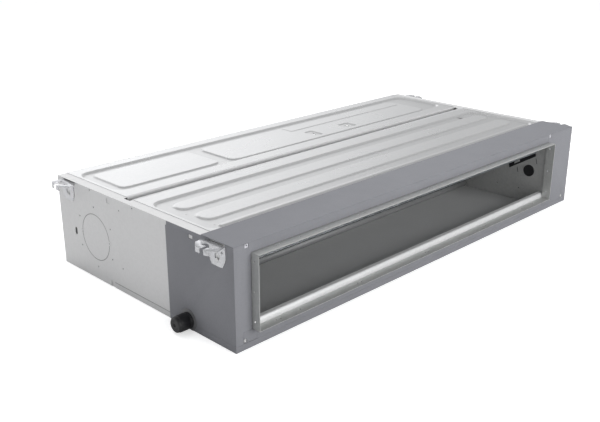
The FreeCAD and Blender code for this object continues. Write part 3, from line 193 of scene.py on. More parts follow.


# zinc_cover darkens in its deeper hollows and dents, between the two heights given last: painted shade
zinc_cover = zinc("zinc_cover", (0.66, 0.665, 0.665), (0.69, 0.69, 0.69), 0.65, 0.26, 0.31, (0.229, 0.241))
# a darker copy of the cover's zinc for the fold in the groove: painted shade
zinc_fold_painted_shade = zinc("zinc_fold_painted_shade", (0.57, 0.57, 0.575), (0.6, 0.6, 0.605), 0.2, 0.45, 0.55)
zinc_side = zinc("zinc_side", (0.665, 0.665, 0.665), (0.69, 0.69, 0.69), 0.15, 0.42, 0.5)
zinc_tray = zinc("zinc_tray", (0.62, 0.62, 0.62), (0.66, 0.66, 0.66), 0.15, 0.42, 0.5)
zinc_collar = zinc("zinc_collar", (0.49, 0.5, 0.49), (0.53, 0.535, 0.525), 0.35, 0.34, 0.4)
zinc_frame = zinc("zinc_frame", (0.3, 0.305, 0.31), (0.34, 0.345, 0.35), 0.2, 0.5, 0.6)
zinc_inner = zinc("zinc_inner", (0.55, 0.555, 0.545), (0.6, 0.6, 0.59), 0.4, 0.38, 0.46)
zinc_bright = zinc("zinc_bright", (0.7, 0.705, 0.705), (0.74, 0.74, 0.74), 0.25, 0.4, 0.48)
zinc_bracket = zinc("zinc_bracket", (0.58, 0.585, 0.6), (0.64, 0.64, 0.66), 0.7, 0.22, 0.3)
zinc_tab = zinc("zinc_tab", (0.62, 0.62, 0.66), (0.68, 0.68, 0.72), 0.1, 0.45, 0.55)
# a dark zinc for the rail inside the outlet: painted shade of the chamber
zinc_rail_painted_shade = zinc("zinc_rail_painted_shade", (0.24, 0.243, 0.247), (0.27, 0.273, 0.277), 0.2, 0.45, 0.55)
print("zinc finishes:", 11)

# %% [markdown]
# ## Foam skins and pan
# Closed-cell rubber foam is glued on where cold air runs behind the sheet, so that no water forms
# there. It is dull and blue-grey, with pores far smaller than a millimetre. The drain pan is a
# darker moulded foam with beads. Both are cell patterns: fine for the skin, coarser for the pan.

# %% Foam and pan finishes
def foam(name, dark, light, pore_scale, pore_depth):
    """Cellular foam: a pore pattern in the colour and the bump, over wide soft clouds."""
    material, tree, shader, place = new_material(name)
    pores = tree.nodes.new("ShaderNodeTexVoronoi")
    pores.inputs["Scale"].default_value = pore_scale
    tree.links.new(place, pores.inputs["Vector"])
    clouds = noise(tree, place, 14.0, 6.0, 0.6)
    blend = tree.nodes.new("ShaderNodeMix")
    blend.inputs[0].default_value = 0.5
    tree.links.new(pores.outputs["Distance"], blend.inputs[2])
    tree.links.new(clouds, blend.inputs[3])
    pattern = spread(tree, blend.outputs[0], 0, 1, 0.25, 0.65)
    tree.links.new(tint(tree, pattern, dark, light), shader.inputs["Base Color"])
    shader.inputs["Roughness"].default_value = 0.82
    shader.inputs["Specular IOR Level"].default_value = 0.3
    raised(tree, shader, pores.outputs["Distance"], pore_depth, 0.35)
    return material


foam_skin = foam("foam_skin", (0.22, 0.223, 0.24), (0.246, 0.249, 0.267), 700.0, 0.00008)
pan_foam = foam("pan_foam", (0.44, 0.445, 0.445), (0.47, 0.475, 0.475), 420.0, 0.0001)

# %% [markdown]
# ## Rubber, plastics, copper and the rest
# These need one function: a base colour broken up by noise, a gloss that varies with it and a fine
# grain. The values make each one itself: rubber is near black and dull, copper is metal and smooth.

# %% Plain finishes
def plain(name, dark, light, metallic, roughness, grain_scale=400.0, grain=0.00004, stretch=(1, 1, 1)):
    """A finish of one substance: cloudy colour, uneven gloss and fine grain, stretched if it was drawn."""
    material, tree, shader, place = new_material(name)
    clouds = noise(tree, place, 30.0, 4.0, 0.6, stretch)
    tree.links.new(tint(tree, spread(tree, clouds, 0, 1), dark, light), shader.inputs["Base Color"])
    tree.links.new(spread(tree, clouds, roughness * 0.85, roughness * 1.15), shader.inputs["Roughness"])
    shader.inputs["Metallic"].default_value = metallic
    raised(tree, shader, noise(tree, place, grain_scale, 2.0, 0.5, stretch), grain, 0.4)
    return material


rubber = plain("black_rubber", (0.008, 0.008, 0.009), (0.016, 0.016, 0.018), 0.0, 0.45, 900.0)
copper = plain("copper_tube", (0.62, 0.33, 0.2), (0.78, 0.46, 0.31), 1.0, 0.3)
brass = plain("brass_nut", (0.6, 0.46, 0.22), (0.74, 0.6, 0.32), 1.0, 0.28)
fin_metal = plain("fin_aluminium", (0.6, 0.62, 0.64), (0.74, 0.76, 0.78), 0.8, 0.35)
steel = plain("turned_steel", (0.5, 0.5, 0.51), (0.62, 0.62, 0.63), 1.0, 0.25, 500.0, 0.00003, (0.1, 1, 1))
screw_steel = plain("screw_zinc", (0.62, 0.62, 0.62), (0.76, 0.76, 0.75), 1.0, 0.3)
motor_paint = plain("motor_paint", (0.05, 0.052, 0.055), (0.075, 0.078, 0.08), 0.0, 0.42)
fan_plastic = plain("fan_plastic", (0.035, 0.036, 0.04), (0.055, 0.056, 0.06), 0.0, 0.5)
housing_plastic = plain("housing_plastic", (0.045, 0.047, 0.05), (0.07, 0.072, 0.075), 0.0, 0.5)
white_plastic = plain("white_plastic", (0.66, 0.66, 0.63), (0.74, 0.74, 0.71), 0.0, 0.45)
socket_plastic = plain("socket_plastic", (0.12, 0.12, 0.125), (0.16, 0.16, 0.165), 0.0, 0.4)
board_green = plain("board_green", (0.01, 0.09, 0.04), (0.02, 0.16, 0.07), 0.0, 0.3)
score_grey = plain("score_grey", (0.24, 0.24, 0.24), (0.32, 0.32, 0.32), 0.3, 0.5)
net_nylon = plain("net_nylon", (0.02, 0.02, 0.022), (0.035, 0.035, 0.04), 0.0, 0.5)
print("materials:", len(bpy.data.materials))

# %% Dress the frame's nodes
finishes = {
    zinc_side: ["left_side_panel", "right_side_panel", "fresh_air_knockout", "return_air_frame",
                "electrical_cover", "pipe_plate", "rear_bottom_cover"],
    zinc_tray: ["front_bottom_cover"],
    zinc_cover: ["front_top_cover", "rear_top_cover"],
    zinc_collar: ["outlet_collar"],
    zinc_inner: ["fan_deck_partition", "pipe_chamber_wall", "coil_end_plates", "filter_rails",
                 "electrical_box", "motor_brackets", "coil_support_rail"],
    zinc_frame: ["outlet_face_frame"],
    zinc_bright: ["drain_lip"],
    zinc_bracket: ["bracket_front_left", "bracket_front_right", "bracket_rear_left", "bracket_rear_right"],
    foam_skin: ["foam_skin_top", "foam_skin_left", "foam_skin_right", "foam_skin_front"],
    pan_foam: ["drain_pan"],
    rubber: ["wall_plug", "motor_rubber_rings", "cable_glands", "drain_cap"],
    copper: ["coil_return_bends", "coil_gas_header", "coil_liquid_distributor", "gas_pipe", "liquid_pipe"],
    brass: ["flare_nuts"],
    fin_metal: ["coil_fin_pack"],
    steel: ["fan_shaft_left", "fan_shaft_right"],
    screw_steel: ["casing_screws"],
    motor_paint: ["fan_motor_left", "fan_motor_right"],
    fan_plastic: ["fan_wheel_1", "fan_wheel_2", "fan_wheel_3", "fan_wheel_4"],
    housing_plastic: ["scroll_lower_halves_left", "scroll_upper_halves_left", "scroll_lower_halves_right",
                      "scroll_upper_halves_right"],
    white_plastic: ["terminal_block", "filter_frame_left", "filter_frame_right"],
    socket_plastic: ["drain_socket"],
    board_green: ["control_board"],
    net_nylon: ["filter_mesh_left", "filter_mesh_right"],
}
for material, names in finishes.items():
    for name in names:
        nodes[name].data.materials.clear()
        nodes[name].data.materials.append(material)
dressed = sum(len(names) for names in finishes.values())
print("dressed nodes:", dressed, "of", len(nodes))

# %% [markdown]
# ## The two pressed covers
# A flat cover this wide would drum and sag, so it is pressed: a pocket is sunk into it and long pads
# stand up again in the pocket. The press leaves soft slopes, and they are what one sees from afar,
# as thin lights and shadows. Cut solids have hard edges there, so the covers are made as height
# fields: the sheet's height is a function of its distance from each rounded rectangle. The groove
# between the covers lies in shade and looks darker than the flats, so the fold that walls it has a
# darker zinc: painted shade.

# %% Height of a pressed sheet
sheet = 1.0
pocket_depth = 4.5


def edge_distance(x, y, box, radius):
    """Distance to a rounded rectangle's edge, negative inside: the corner's circle, or the nearer side."""
    x0, x1, y0, y1 = box
    qx = np.abs(x - (x0 + x1) / 2) - (x1 - x0) / 2 + radius
    qy = np.abs(y - (y0 + y1) / 2) - (y1 - y0) / 2 + radius
    outside = np.hypot(np.maximum(qx, 0), np.maximum(qy, 0))
    return outside + np.minimum(np.maximum(qx, qy), 0) - radius


def slope(distance, width):
    """0 outside, 1 inside, with an S-shaped slope of the given width: 3t^2 - 2t^3."""
    t = np.clip(-distance / width, 0, 1)
    return t * t * (3 - 2 * t)


def graded(low, high, coarse, marks, reach, fine):
    """Coordinates between two ends: coarse steps, and fine ones near each mark."""
    lines = [np.linspace(low, high, int((high - low) / coarse) + 1)]
    lines += [np.arange(m - reach, m + reach + fine / 2, fine) for m in marks]
    every = np.unique(np.round(np.concatenate(lines), 3))
    return every[(every >= low) & (every <= high)]


# %% A cover as one sheet with its edge folded down
def pressed_cover(name, x_range, far_edge, fold_edge, fold_end_x, top, fold_depth, shapes, windows):
    """A flat grid whose height is a sum of shapes, then a quarter bend and a straight drop.

    A shape is (box, corner radius, slope width, rise); a window is the box of a hole.
    """
    sides_x = [v for box, _, width, _ in shapes for v in (box[0] + width / 2, box[1] - width / 2)]
    sides_y = [v for box, _, width, _ in shapes for v in (box[2] + width / 2, box[3] - width / 2)]
    xs = graded(*x_range, 9.0, sides_x, 9.0, 1.2)
    xs = np.unique(np.concatenate([xs, [fold_end_x]] + [w[:2] for w in windows]))
    toward = np.sign(fold_edge - far_edge)
    bend = 1.2
    ends = sorted([far_edge, fold_edge - toward * bend])
    flat = graded(*ends, 7.0, sides_y, 8.0, 1.2)
    flat = np.unique(np.concatenate([flat] + [w[2:] for w in windows]))[::int(toward)]
    turn = np.linspace(0, math.pi / 2, 6)[1:]
    along = np.concatenate([flat, fold_edge - toward * bend * (1 - np.sin(turn)), [fold_edge]])
    base = np.concatenate([np.full(len(flat), top), top - bend * (1 - np.cos(turn)), [top - fold_depth]])
    x, y = np.meshgrid(xs, along, indexing="ij")
    z = np.broadcast_to(base, x.shape).copy()
    for box, radius, width, rise in shapes:
        z += rise * slope(edge_distance(x, y, box, radius), width)
    middle_x, middle_y = (x[:-1, :-1] + x[1:, 1:]) / 2, (y[:-1, :-1] + y[1:, 1:]) / 2
    keep = np.ones(middle_x.shape, bool)
    for x0, x1, y0, y1 in windows:
        keep &= ~((middle_x > x0) & (middle_x < x1) & (middle_y > y0) & (middle_y < y1))
    keep[:, len(flat) - 1:] &= middle_x[:, len(flat) - 1:] < fold_end_x
    faces = grid_faces(len(xs), len(along), mask=keep)
    piece = make_piece(name, np.stack([x, y, z], axis=-1), faces[:, ::-1] if toward > 0 else faces)
    wall = piece.modifiers.new("sheet", "SOLIDIFY")
    wall.thickness = sheet * MM
    wall.offset = -1
    piece.data.materials.append(zinc_cover)
    piece.data.materials.append(zinc_fold_painted_shade)
    # faces of the fold take the darker zinc: painted shade of the groove
    in_fold = np.broadcast_to(np.arange(keep.shape[1]) >= len(flat) - 1, keep.shape)[keep]
    piece.data.polygons.foreach_set("material_index", in_fold.astype(int))
    print(name, "faces:", len(faces))
    return piece


# %% The front cover
low, high = (np.array(corner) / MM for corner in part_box("front_top_cover"))
groove_end = 658.7
pocket_x = (-666.0, 660.0)
press_width = 8.0
pad_width = 5.0
pad_rise = 3.2
dent_depth = 2.4


def pierced(dent):
    """The small hole in the middle of a dent."""
    x, y = (dent[0] + dent[1]) / 2, (dent[2] + dent[3]) / 2
    return (x - 4.5, x + 4.5, y - 6.3, y + 6.3)


front_pads = [(-95.0, -37.0), (-185.0, -122.0), (-232.0, -214.0)]
front_bumps = [(-638.0, -114.0), (-633.0, -209.0)]
bump = 3.2
front_shapes = [((*pocket_x, -243.0, -3.0), 34.0, press_width, -pocket_depth)]
for near, far in front_pads:
    front_shapes.append(((-634.0, 635.0, near, far), min(27.0, (far - near) / 2), pad_width, pad_rise))
for x, y in front_bumps:
    front_shapes.append(((x - bump, x + bump, y - bump, y + bump), bump, bump, 0.8))
front_dent = (554.0, 574.0, -34.0, -10.0)
front_shapes.append((front_dent, 6.0, 4.0, -dent_depth))
front_cover = pressed_cover("front_cover_pressed", (low[0], high[0]), low[1], high[1], groove_end, high[2],
                            high[2] - low[2], front_shapes, [pierced(front_dent)])
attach(front_cover, "casing")
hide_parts("front_top_cover")

# %% The rear cover
low, high = (np.array(corner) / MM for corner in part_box("rear_top_cover"))
rear_shapes = [((*pocket_x, 118.0, 314.0), 38.0, press_width, -pocket_depth),
               ((-640.0, -322.0, 138.0, 290.0), 22.0, pad_width, pad_rise),
               ((-290.0, 578.0, 128.0, 290.0), 30.0, pad_width, pad_rise),
               ((36.0, 560.0, 233.0, 285.0), 8.0, 4.0, 1.2)]
dents = [(58.0, 91.0, 146.0, 203.0), (199.0, 246.0, 146.0, 194.0)]
rear_shapes += [(dent, 6.0, 5.0, -dent_depth) for dent in dents]
rear_cover = pressed_cover("rear_cover_pressed", (low[0], high[0]), high[1], low[1], groove_end, high[2],
                           high[2] - low[2], rear_shapes, [pierced(dent) for dent in dents])
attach(rear_cover, "casing")
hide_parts("rear_top_cover")

# %% [markdown]
# ## The fins of the coil
# The coil is hundreds of thin aluminium plates pressed onto copper tubes. The CAD block has their
# outline. Five hundred real plates are no trouble in a mesh: one thin box, repeated along X by
# adding an array of places. A striped texture would be lighter, but it has no gaps to look into.

# %% Fins along X
lean_angle = math.radians(30.0)
coil_foot = np.array([-60.0, 34.0])
lean = np.array([-math.cos(lean_angle), math.sin(lean_angle)])
through = np.array([math.sin(lean_angle), math.cos(lean_angle)])
coil_length, coil_depth = 294.0, 57.0
fin_pitch, fin_gauge = 2.4, 0.3
low, high = (np.array(corner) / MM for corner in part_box("coil_fin_pack"))
corners = np.array([coil_foot + lean * s + through * n
                    for s, n in ((0, 0), (coil_length, 0), (coil_length, coil_depth), (0, coil_depth))])
plate = np.array([[[x, y, z] for y, z in corners] for x in (0.0, fin_gauge)])
box_faces = np.vstack([grid_faces(2, 4, close_columns=True), [[3, 2, 1, 0]], [[4, 5, 6, 7]]])[:, ::-1]
stations = np.arange(low[0], high[0] - fin_gauge, fin_pitch)
places = np.stack([stations, stations * 0, stations * 0], axis=-1)
fins = make_piece("coil_fins", *repeated(plate, box_faces, places), smooth=False)
fins.data.materials.append(fin_metal)
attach(fins, "casing")
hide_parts("coil_fin_pack")
print("fins:", len(stations))

# %% [markdown]
# ## What shows inside the outlet
# Looking in under the collar one sees the rolled rail that carries the coil, and at the right end a
# black sealing strip with a clip, laid along the leaning coil on the chamber wall. The rail is one
# profile carried along X and given the sheet's thickness, in a dark zinc that is painted shade of the
# chamber. A black strip on the coil's foot is painted shade under the coil. The sealing strip, its
# clip, the foot strip and the wall's small slots are slabs: four corners in the side view, pushed
# along X. The slots are black plates on the wall, painted shade of the openings.

# %% A profile carried along X
def carried(name, path, x0, x1, material):
    """Sheet between x0 and x1 whose section is a path of (y, z) points."""
    points = np.array([[(x, y, z) for y, z in path] for x in (x0, x1)])
    piece = make_piece(name, points, grid_faces(2, len(path)))
    wall = piece.modifiers.new("sheet", "SOLIDIFY")
    wall.thickness = sheet * MM
    wall.offset = 1
    piece.data.materials.append(material)
    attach(piece, "casing")
    return piece


bead_angle = np.radians(np.linspace(70, -75, 16))
bead = np.stack([-54.0 - 11.0 * np.cos(bead_angle), 24.0 + 11.0 * np.sin(bead_angle)], axis=-1)
low, high = (np.array(corner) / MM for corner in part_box("coil_support_rail"))
# the rail's dark zinc is painted shade
rail = carried("coil_rail_rolled", bead, low[0], high[0], zinc_rail_painted_shade)
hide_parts("coil_support_rail")
print("rail points:", len(bead))


# %% The strip, its clip and the slots of the chamber wall
def slabs(name, corners, x0, x1, material):
    """Flat pieces between x0 and x1: each is four (y, z) corners, clockwise in the side view."""
    ends = np.array([[[(x, y, z) for y, z in four] for x in (x0, x1)] for four in corners])
    every, quads = repeated(np.zeros((8, 3)), box_faces, np.zeros((len(corners), 3)))
    piece = make_piece(name, ends.reshape(-1, 3), quads, smooth=False)
    piece.data.materials.append(material)
    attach(piece, "casing")
    return piece


def upright_slot(y, z, tall, wide=1.7, drift=4.5):
    """A narrow slot from its foot at (y, z), leaning back by drift at the top."""
    return [(y, z), (y - wide, z), (y - wide + drift, z + tall), (y + drift, z + tall)]


wall_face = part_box("pipe_chamber_wall")[0][0] / MM
foot_shade_strip = [(-60.5, 34.5), (-83.0, 47.5), (-84.2, 45.4), (-61.7, 32.4)]
end_strip = [(-221.0, 112.4), (-309.1, 166.9), (-308.0, 176.8), (-218.4, 125.9)]
clip = [(-238.0, 129.0), (-256.0, 140.0), (-255.6, 146.0), (-237.6, 135.4)]
# a black strip over the fins at the coil's foot: painted shade under the coil
slabs("coil_foot_painted_shade", [foot_shade_strip], low[0] + 4, high[0] - 4, rubber)
slabs("coil_end_seal", [end_strip], wall_face - 2.4, wall_face - 0.1, rubber)
slabs("seal_clip", [clip], wall_face - 2.9, wall_face - 2.4, zinc_inner)
# the slots are thin black plates laid on the wall: painted shade of the openings
marks = [upright_slot(-250.7, 103.8, 16.5), upright_slot(-313.6, 142.9, 17.0),
         upright_slot(-341.6, 149.2, 3.4, 3.4, 0.0), upright_slot(-341.6, 101.1, 3.4, 3.4, 0.0)]
slabs("wall_slot_shade_plates", marks, wall_face - 0.15, wall_face, rubber)
print("slots:", len(marks))

# %% [markdown]
# ## The foam patch, the tabs and the scored disc
# The front foam has a corner patch, cut out round a screw, and two small tabs stand above the
# outlet. Each is a thin sheet on a grid, and a mask leaves the screw's circle out. The side sheet's
# small holes are dark in the photograph, but here the light of the white room shows through them,
# so a dark plate stands behind each. Those plates are a stand-in, and no piece of the real unit.
# The fresh-air disc is held by a few bridges. Its score line shows as a fine grey ring: a flat band
# between two radii, painted shade of the slit. The seam above the bottom tray is a thin grey strip,
# painted shade of the gap.

# %% Sheets with a round hole
def pierced_sheet(name, x_range, z_range, y, hole, gauge, material):
    """A sheet facing the front on a fine grid; the mask drops quads within the hole, (x, z, radius)."""
    cell = 0.6
    xs, zs = np.arange(*x_range, cell), np.arange(*z_range, cell)
    x, z = np.meshgrid(xs, zs, indexing="ij")
    keep = np.hypot(x[:-1, :-1] + cell / 2 - hole[0], z[:-1, :-1] + cell / 2 - hole[1]) > hole[2]
    faces = grid_faces(len(xs), len(zs), mask=keep)[:, ::-1]
    piece = make_piece(name, np.stack([x, x * 0 + y, z], axis=-1), faces, smooth=False)
    wall = piece.modifiers.new("gauge", "SOLIDIFY")
    wall.thickness = gauge * MM
    wall.offset = -1
    piece.data.materials.append(material)
    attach(piece, "casing")


pierced_sheet("foam_patch", (-678.4, -636.0), (15.9, 42.5), -349.5, (-674.0, 21.7, 5.0), 0.8, foam_skin)
for side, middle in (("left", -664.5), ("right", 565.6)):
    pierced_sheet("front_tab_" + side, (middle - 4.6, middle + 4.9), (234.6, 242.4), -349.2,
                  (middle, 239.6, 2.0), 0.5, zinc_tab)

# %% Plates behind the small holes, the seam and the score ring
disc = (np.array(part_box("fresh_air_knockout")) / MM).mean(axis=0)


def square(y, z, half, tall=None):
    """Four clockwise corners round (y, z) in the side view."""
    tall = half if tall is None else tall
    return [(y + half, z - tall), (y - half, z - tall), (y - half, z + tall), (y + half, z + tall)]


screw_circle, ring_steps = 80, 120
six = np.radians(30 + 60 * np.arange(6))
small_holes = [(197.2, 237.2), (70.5, 215.7), (13.8, 236.2), (71.1, 64.9)]
small_holes += list(zip(disc[1] + screw_circle * np.cos(six), disc[2] + screw_circle * np.sin(six)))
slot_shade_plate = square(278.0, 108.0, 6.5, 12.0)
seam = [(111.0, 14.4), (-348.0, 14.4), (-348.0, 15.9), (111.0, 15.9)]
# dark plates behind the small holes and the slot: painted shade inside the openings
slabs("hole_shade_plates", [square(y, z, 3.6) for y, z in small_holes] + [slot_shade_plate], -697.3, -696.8, rubber)
# a grey strip over the seam: painted shade of the gap
slabs("tray_seam", [seam], -698.8, -698.5, score_grey)
slabs("square_back", [square(116.0, 229.6, 7.0)], -697.4, -696.9, zinc_side)
turn = np.linspace(0, 2 * math.pi, ring_steps, endpoint=False)
radius, angle = np.meshgrid((59.6, 61.6), turn, indexing="ij")
ring = np.stack([radius * 0 - 698.6, disc[1] + radius * np.cos(angle),
                 disc[2] + radius * np.sin(angle)], axis=-1)
# a grey ring over the score line: painted shade of the slit
score = make_piece("disc_score", ring, grid_faces(2, ring_steps, close_columns=True))
score.data.materials.append(score_grey)
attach(score, "casing")
print("disc centre:", disc.round(1))

# %% [markdown]
# ## Screws with a cross in the head
# A pan head is a low dome, and its cross is pressed in. On a polar grid the dome is a function of
# the radius, and the cross is a dip wherever the point is near one of two lines. All screws share
# one head, turned to the side that it faces.

# %% One head on a polar grid, then every screw
head_radius, head_height = 4.0, 1.6


def screw_head():
    """Dome h (1 - 0.35 (r/R)^2) with a cross dip near both axes, closed by a skirt to the sheet."""
    radius = np.concatenate([np.linspace(0, head_radius, 14), [head_radius]])
    angle = np.linspace(0, 2 * math.pi, 32, endpoint=False)
    r, a = np.meshgrid(radius, angle, indexing="ij")
    u, v = r * np.cos(a), r * np.sin(a)
    height = head_height * (1 - 0.35 * (r / head_radius) ** 2)
    arm = np.maximum(slope(np.abs(u) - 0.75, 0.4), slope(np.abs(v) - 0.75, 0.4))
    height -= 1.0 * arm * slope(r - 2.5, 0.8)
    height[-1] = 0.0
    return np.stack([u, v, height], axis=-1), grid_faces(15, 32, close_columns=True)


def turned(points, towards):
    """Local (u, v, w) points turned so that w points along an axis of the frame."""
    frames = {"+X": ([0, 1, 0], [0, 0, 1], [1, 0, 0]), "-X": ([0, -1, 0], [0, 0, 1], [-1, 0, 0]),
              "+Y": ([-1, 0, 0], [0, 0, 1], [0, 1, 0]), "-Y": ([1, 0, 0], [0, 0, 1], [0, -1, 0])}
    return points @ np.array(frames[towards], float)


bracket_y, keyhole_z = 297.0, 203.0
bracket_face, front_face, rear_face, plate_face = 700.5, -348.5, 348.5, 699.5
seats = {
    "-X": [(-bracket_face, s * bracket_y, keyhole_z) for s in (-1, 1)],
    "+X": [(bracket_face, s * bracket_y, keyhole_z) for s in (-1, 1)]
    + [(plate_face, y, z) for y in (85.0, 325.0) for z in (25.0, 175.0)]
    + [(plate_face, y, z) for y in (-285.0, -155.0) for z in (57.0, 135.0)],
    "-Y": [(s * 674.0, front_face, 21.7) for s in (-1, 1)],
    "+Y": [(s * 690.0, rear_face, z) for s in (-1, 1) for z in (40.0, 120.0, 200.0)],
}
points, faces = screw_head()
all_points, all_faces, count = [], [], 0
for towards, spots in seats.items():
    p, f = repeated(turned(points, towards), faces, np.array(spots))
    all_points.append(p)
    all_faces.append(f + count)
    count += len(p)
screws = make_piece("screw_heads", np.vstack(all_points), np.vstack(all_faces))
screws.data.materials.append(screw_steel)
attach(screws, "casing")
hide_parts("casing_screws")
print("screws:", sum(len(s) for s in seats.values()))

# %% [markdown]
# ## The filter nets
# Each filter is a nylon net in a plastic frame. A net of this size is two sets of threads. Threads
# with a four-sided section keep it light, and both sets are one small prism repeated.

# %% Two sets of threads
thread, mesh_step = 0.5, 4.0


def threads(start, end, across, steps):
    """Square prisms from start to end, moved across in equal steps."""
    start, end = np.array(start, float), np.array(end, float)
    run = (end - start) / np.linalg.norm(end - start)
    side_a = np.array([0.0, 1.0, 0.0])
    side_b = np.cross(run, side_a)
    ring = [thread / 2 * (a * side_a + b * side_b) for a, b in ((1, 1), (-1, 1), (-1, -1), (1, -1))]
    prism = np.array([[p + r for r in ring] for p in (start, end)])
    faces = np.vstack([grid_faces(2, 4, close_columns=True), [[0, 1, 2, 3]], [[7, 6, 5, 4]]])
    return repeated(prism, faces, np.arange(steps)[:, None] * np.array([across]))


for side in ("left", "right"):
    low, high = (np.array(corner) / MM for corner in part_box("filter_mesh_" + side))
    y = (low[1] + high[1]) / 2
    tall = threads((low[0] + 1, y - 0.1, low[2]), (low[0] + 1, y - 0.1, high[2]), (mesh_step, 0, 0),
                   int((high[0] - low[0]) / mesh_step))
    wide = threads((low[0], y + 0.1, low[2] + 1), (high[0], y + 0.1, low[2] + 1), (0, 0, mesh_step),
                   int((high[2] - low[2]) / mesh_step))
    faces = np.vstack([tall[1], wide[1] + len(tall[0])])
    net = make_piece("net_" + side, np.vstack([tall[0], wide[0]]), faces, smooth=False)
    net.data.materials.append(net_nylon)
    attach(net, side + "_filter")
    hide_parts("filter_mesh_" + side)
    print("net", side, "faces:", len(net.data.polygons))

# %% [markdown]
# ## The rubber cap on the drain pipe
# A moulded cap has no sharp edge: a thick skirt with a lip, a step down to a slimmer end, a rounded
# nose and a dimple where the mould was fed. That is a profile turned round the pipe's axis.

# %% A turned profile
low, high = (np.array(corner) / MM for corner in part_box("drain_cap"))
cap_axis = (low[1:] + high[1:]) / 2
skirt_radius = (high[1] - low[1]) / 2
nose_radius, bore_radius = skirt_radius - 1.4, 16.1
root, tip = high[0], low[0]


def fillet(cx, cr, radius, start, end, steps=6):
    """Points of a round corner in the (x, radius) plane between two angles in degrees."""
    a = np.radians(np.linspace(start, end, steps))
    return [(cx + radius * c, cr + radius * s) for c, s in zip(np.cos(a), np.sin(a))]


profile = [(root - 26.0, bore_radius), (root, bore_radius)]
profile += fillet(root - 0.8, skirt_radius - 0.8, 0.8, 0, 90)
profile += [(root - 5.0, skirt_radius), (root - 5.6, skirt_radius - 0.5), (root - 6.4, skirt_radius - 0.5)]
profile += [(root - 7.0, skirt_radius)]
profile += fillet(tip + 9.2, skirt_radius - 1.2, 1.2, 90, 180, 5)
profile += [(tip + 8.0, nose_radius)]
profile += fillet(tip + 3.6, nose_radius - 3.6, 3.6, 90, 180, 9)
profile += [(tip, 5.0)] + fillet(tip + 0.6, 4.4, 0.6, 180, 90, 4)[1:]
profile += [(tip + 2.0, 3.2), (tip + 2.0, 0.01)]
profile = np.array(profile)
turn = np.linspace(0, 2 * math.pi, 72, endpoint=False)
ring = np.stack([np.repeat(profile[:, :1], len(turn), 1), cap_axis[0] + profile[:, 1:] * np.cos(turn),
                 cap_axis[1] + profile[:, 1:] * np.sin(turn)], axis=-1)
cap = make_piece("drain_cap_rubber", ring, grid_faces(len(profile), len(turn), close_columns=True))
cap.data.materials.append(rubber)
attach(cap, "drain_cap")
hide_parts("drain_cap")
print("cap:", round(float(root - tip), 1), "mm long")

# %% [markdown]
# ## Bent sheet has no sharp edge
# Folded steel turns round a small radius and cut foam has a soft rim, and both catch a thin light.
# The frame's solids end in exact corners, so a few pieces get a copy with softened edges: the
# copy's triangles are joined, its flat areas are made whole, and a bevel rounds what is left.

# %% Softened copies
def softened(node, width, body="casing", segments=2):
    """A joined copy of a node's mesh with every corner over 30 degrees rounded by the given width."""
    mesh = nodes[node].data.copy()
    work = bmesh.new()
    work.from_mesh(mesh)
    bmesh.ops.remove_doubles(work, verts=work.verts, dist=0.01 * MM)
    bmesh.ops.dissolve_limit(work, angle_limit=math.radians(0.5), verts=work.verts, edges=work.edges)
    bmesh.ops.recalc_face_normals(work, faces=work.faces)
    work.to_mesh(mesh)
    work.free()
    piece = bpy.data.objects.new(node + "_soft", mesh)
    bpy.context.scene.collection.objects.link(piece)
    bevel = piece.modifiers.new("edges", "BEVEL")
    bevel.width = width * MM
    bevel.segments = segments
    bevel.limit_method = "ANGLE"
    bevel.angle_limit = math.radians(30.0)
    bevel.use_clamp_overlap = True
    mesh.polygons.foreach_set("use_smooth", [True] * len(mesh.polygons))
    smooth = mesh.attributes.get("sharp_edge")
    if smooth is not None:
        mesh.attributes.remove(smooth)
    bevel.harden_normals = True
    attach(piece, body)
    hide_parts(node)
    return piece


corners_of_sheet, rim_of_foam, moulded = 0.9, 0.6, 0.8
soft_pieces = {"bracket_front_left": corners_of_sheet, "bracket_front_right": corners_of_sheet,
               "bracket_rear_left": corners_of_sheet, "bracket_rear_right": corners_of_sheet,
               "foam_skin_top": 0.7, "foam_skin_left": rim_of_foam, "foam_skin_right": rim_of_foam,
               "foam_skin_front": rim_of_foam, "drain_socket": moulded, "flare_nuts": moulded}
for node, width in soft_pieces.items():
    piece = softened(node, width)
    print(node, "faces:", len(piece.data.polygons))

# %% [markdown]
# ## The floor, the light and the camera
# The unit stands on a white studio floor that fades into white. A floor lit to exactly white would
# need more light than the steel can take, so the floor glows a little by itself and still keeps the
# soft shadow. One wide lamp stands above and behind, a second one in front, because the front face
# and the top are brighter than the left side. The flat covers mirror what is low behind them, so
# the backdrop glows there and dims with height: the covers turn bright at the left, their slopes
# stay dark. The upper lamp is kept out of reflections, or every slope would carry a white streak.

# %% Studio floor
floor_reach = 9.0
edge = np.linspace(-floor_reach, floor_reach, 5) / MM
fx, fy = np.meshgrid(edge, edge, indexing="ij")
floor = make_piece("studio_floor", np.stack([fx, fy, np.zeros_like(fx)], axis=-1),
                   grid_faces(5, 5)[:, ::-1], smooth=False)
material, tree, shader, place = new_material("studio_white")
shader.inputs["Roughness"].default_value = 0.9
shader.inputs["Specular IOR Level"].default_value = 0.0
floor_white = tint(tree, noise(tree, place, 3.0), (0.9, 0.9, 0.9), (0.92, 0.92, 0.92))
tree.links.new(floor_white, shader.inputs["Base Color"])
shader.inputs["Emission Color"].default_value = (1, 1, 1, 1)
path = tree.nodes.new("ShaderNodeLightPath")
floor_glow = spread(tree, path.outputs["Is Camera Ray"], 0.0, 0.55, 0.0, 1.0)
tree.links.new(floor_glow, shader.inputs["Emission Strength"])
floor.data.materials.append(material)

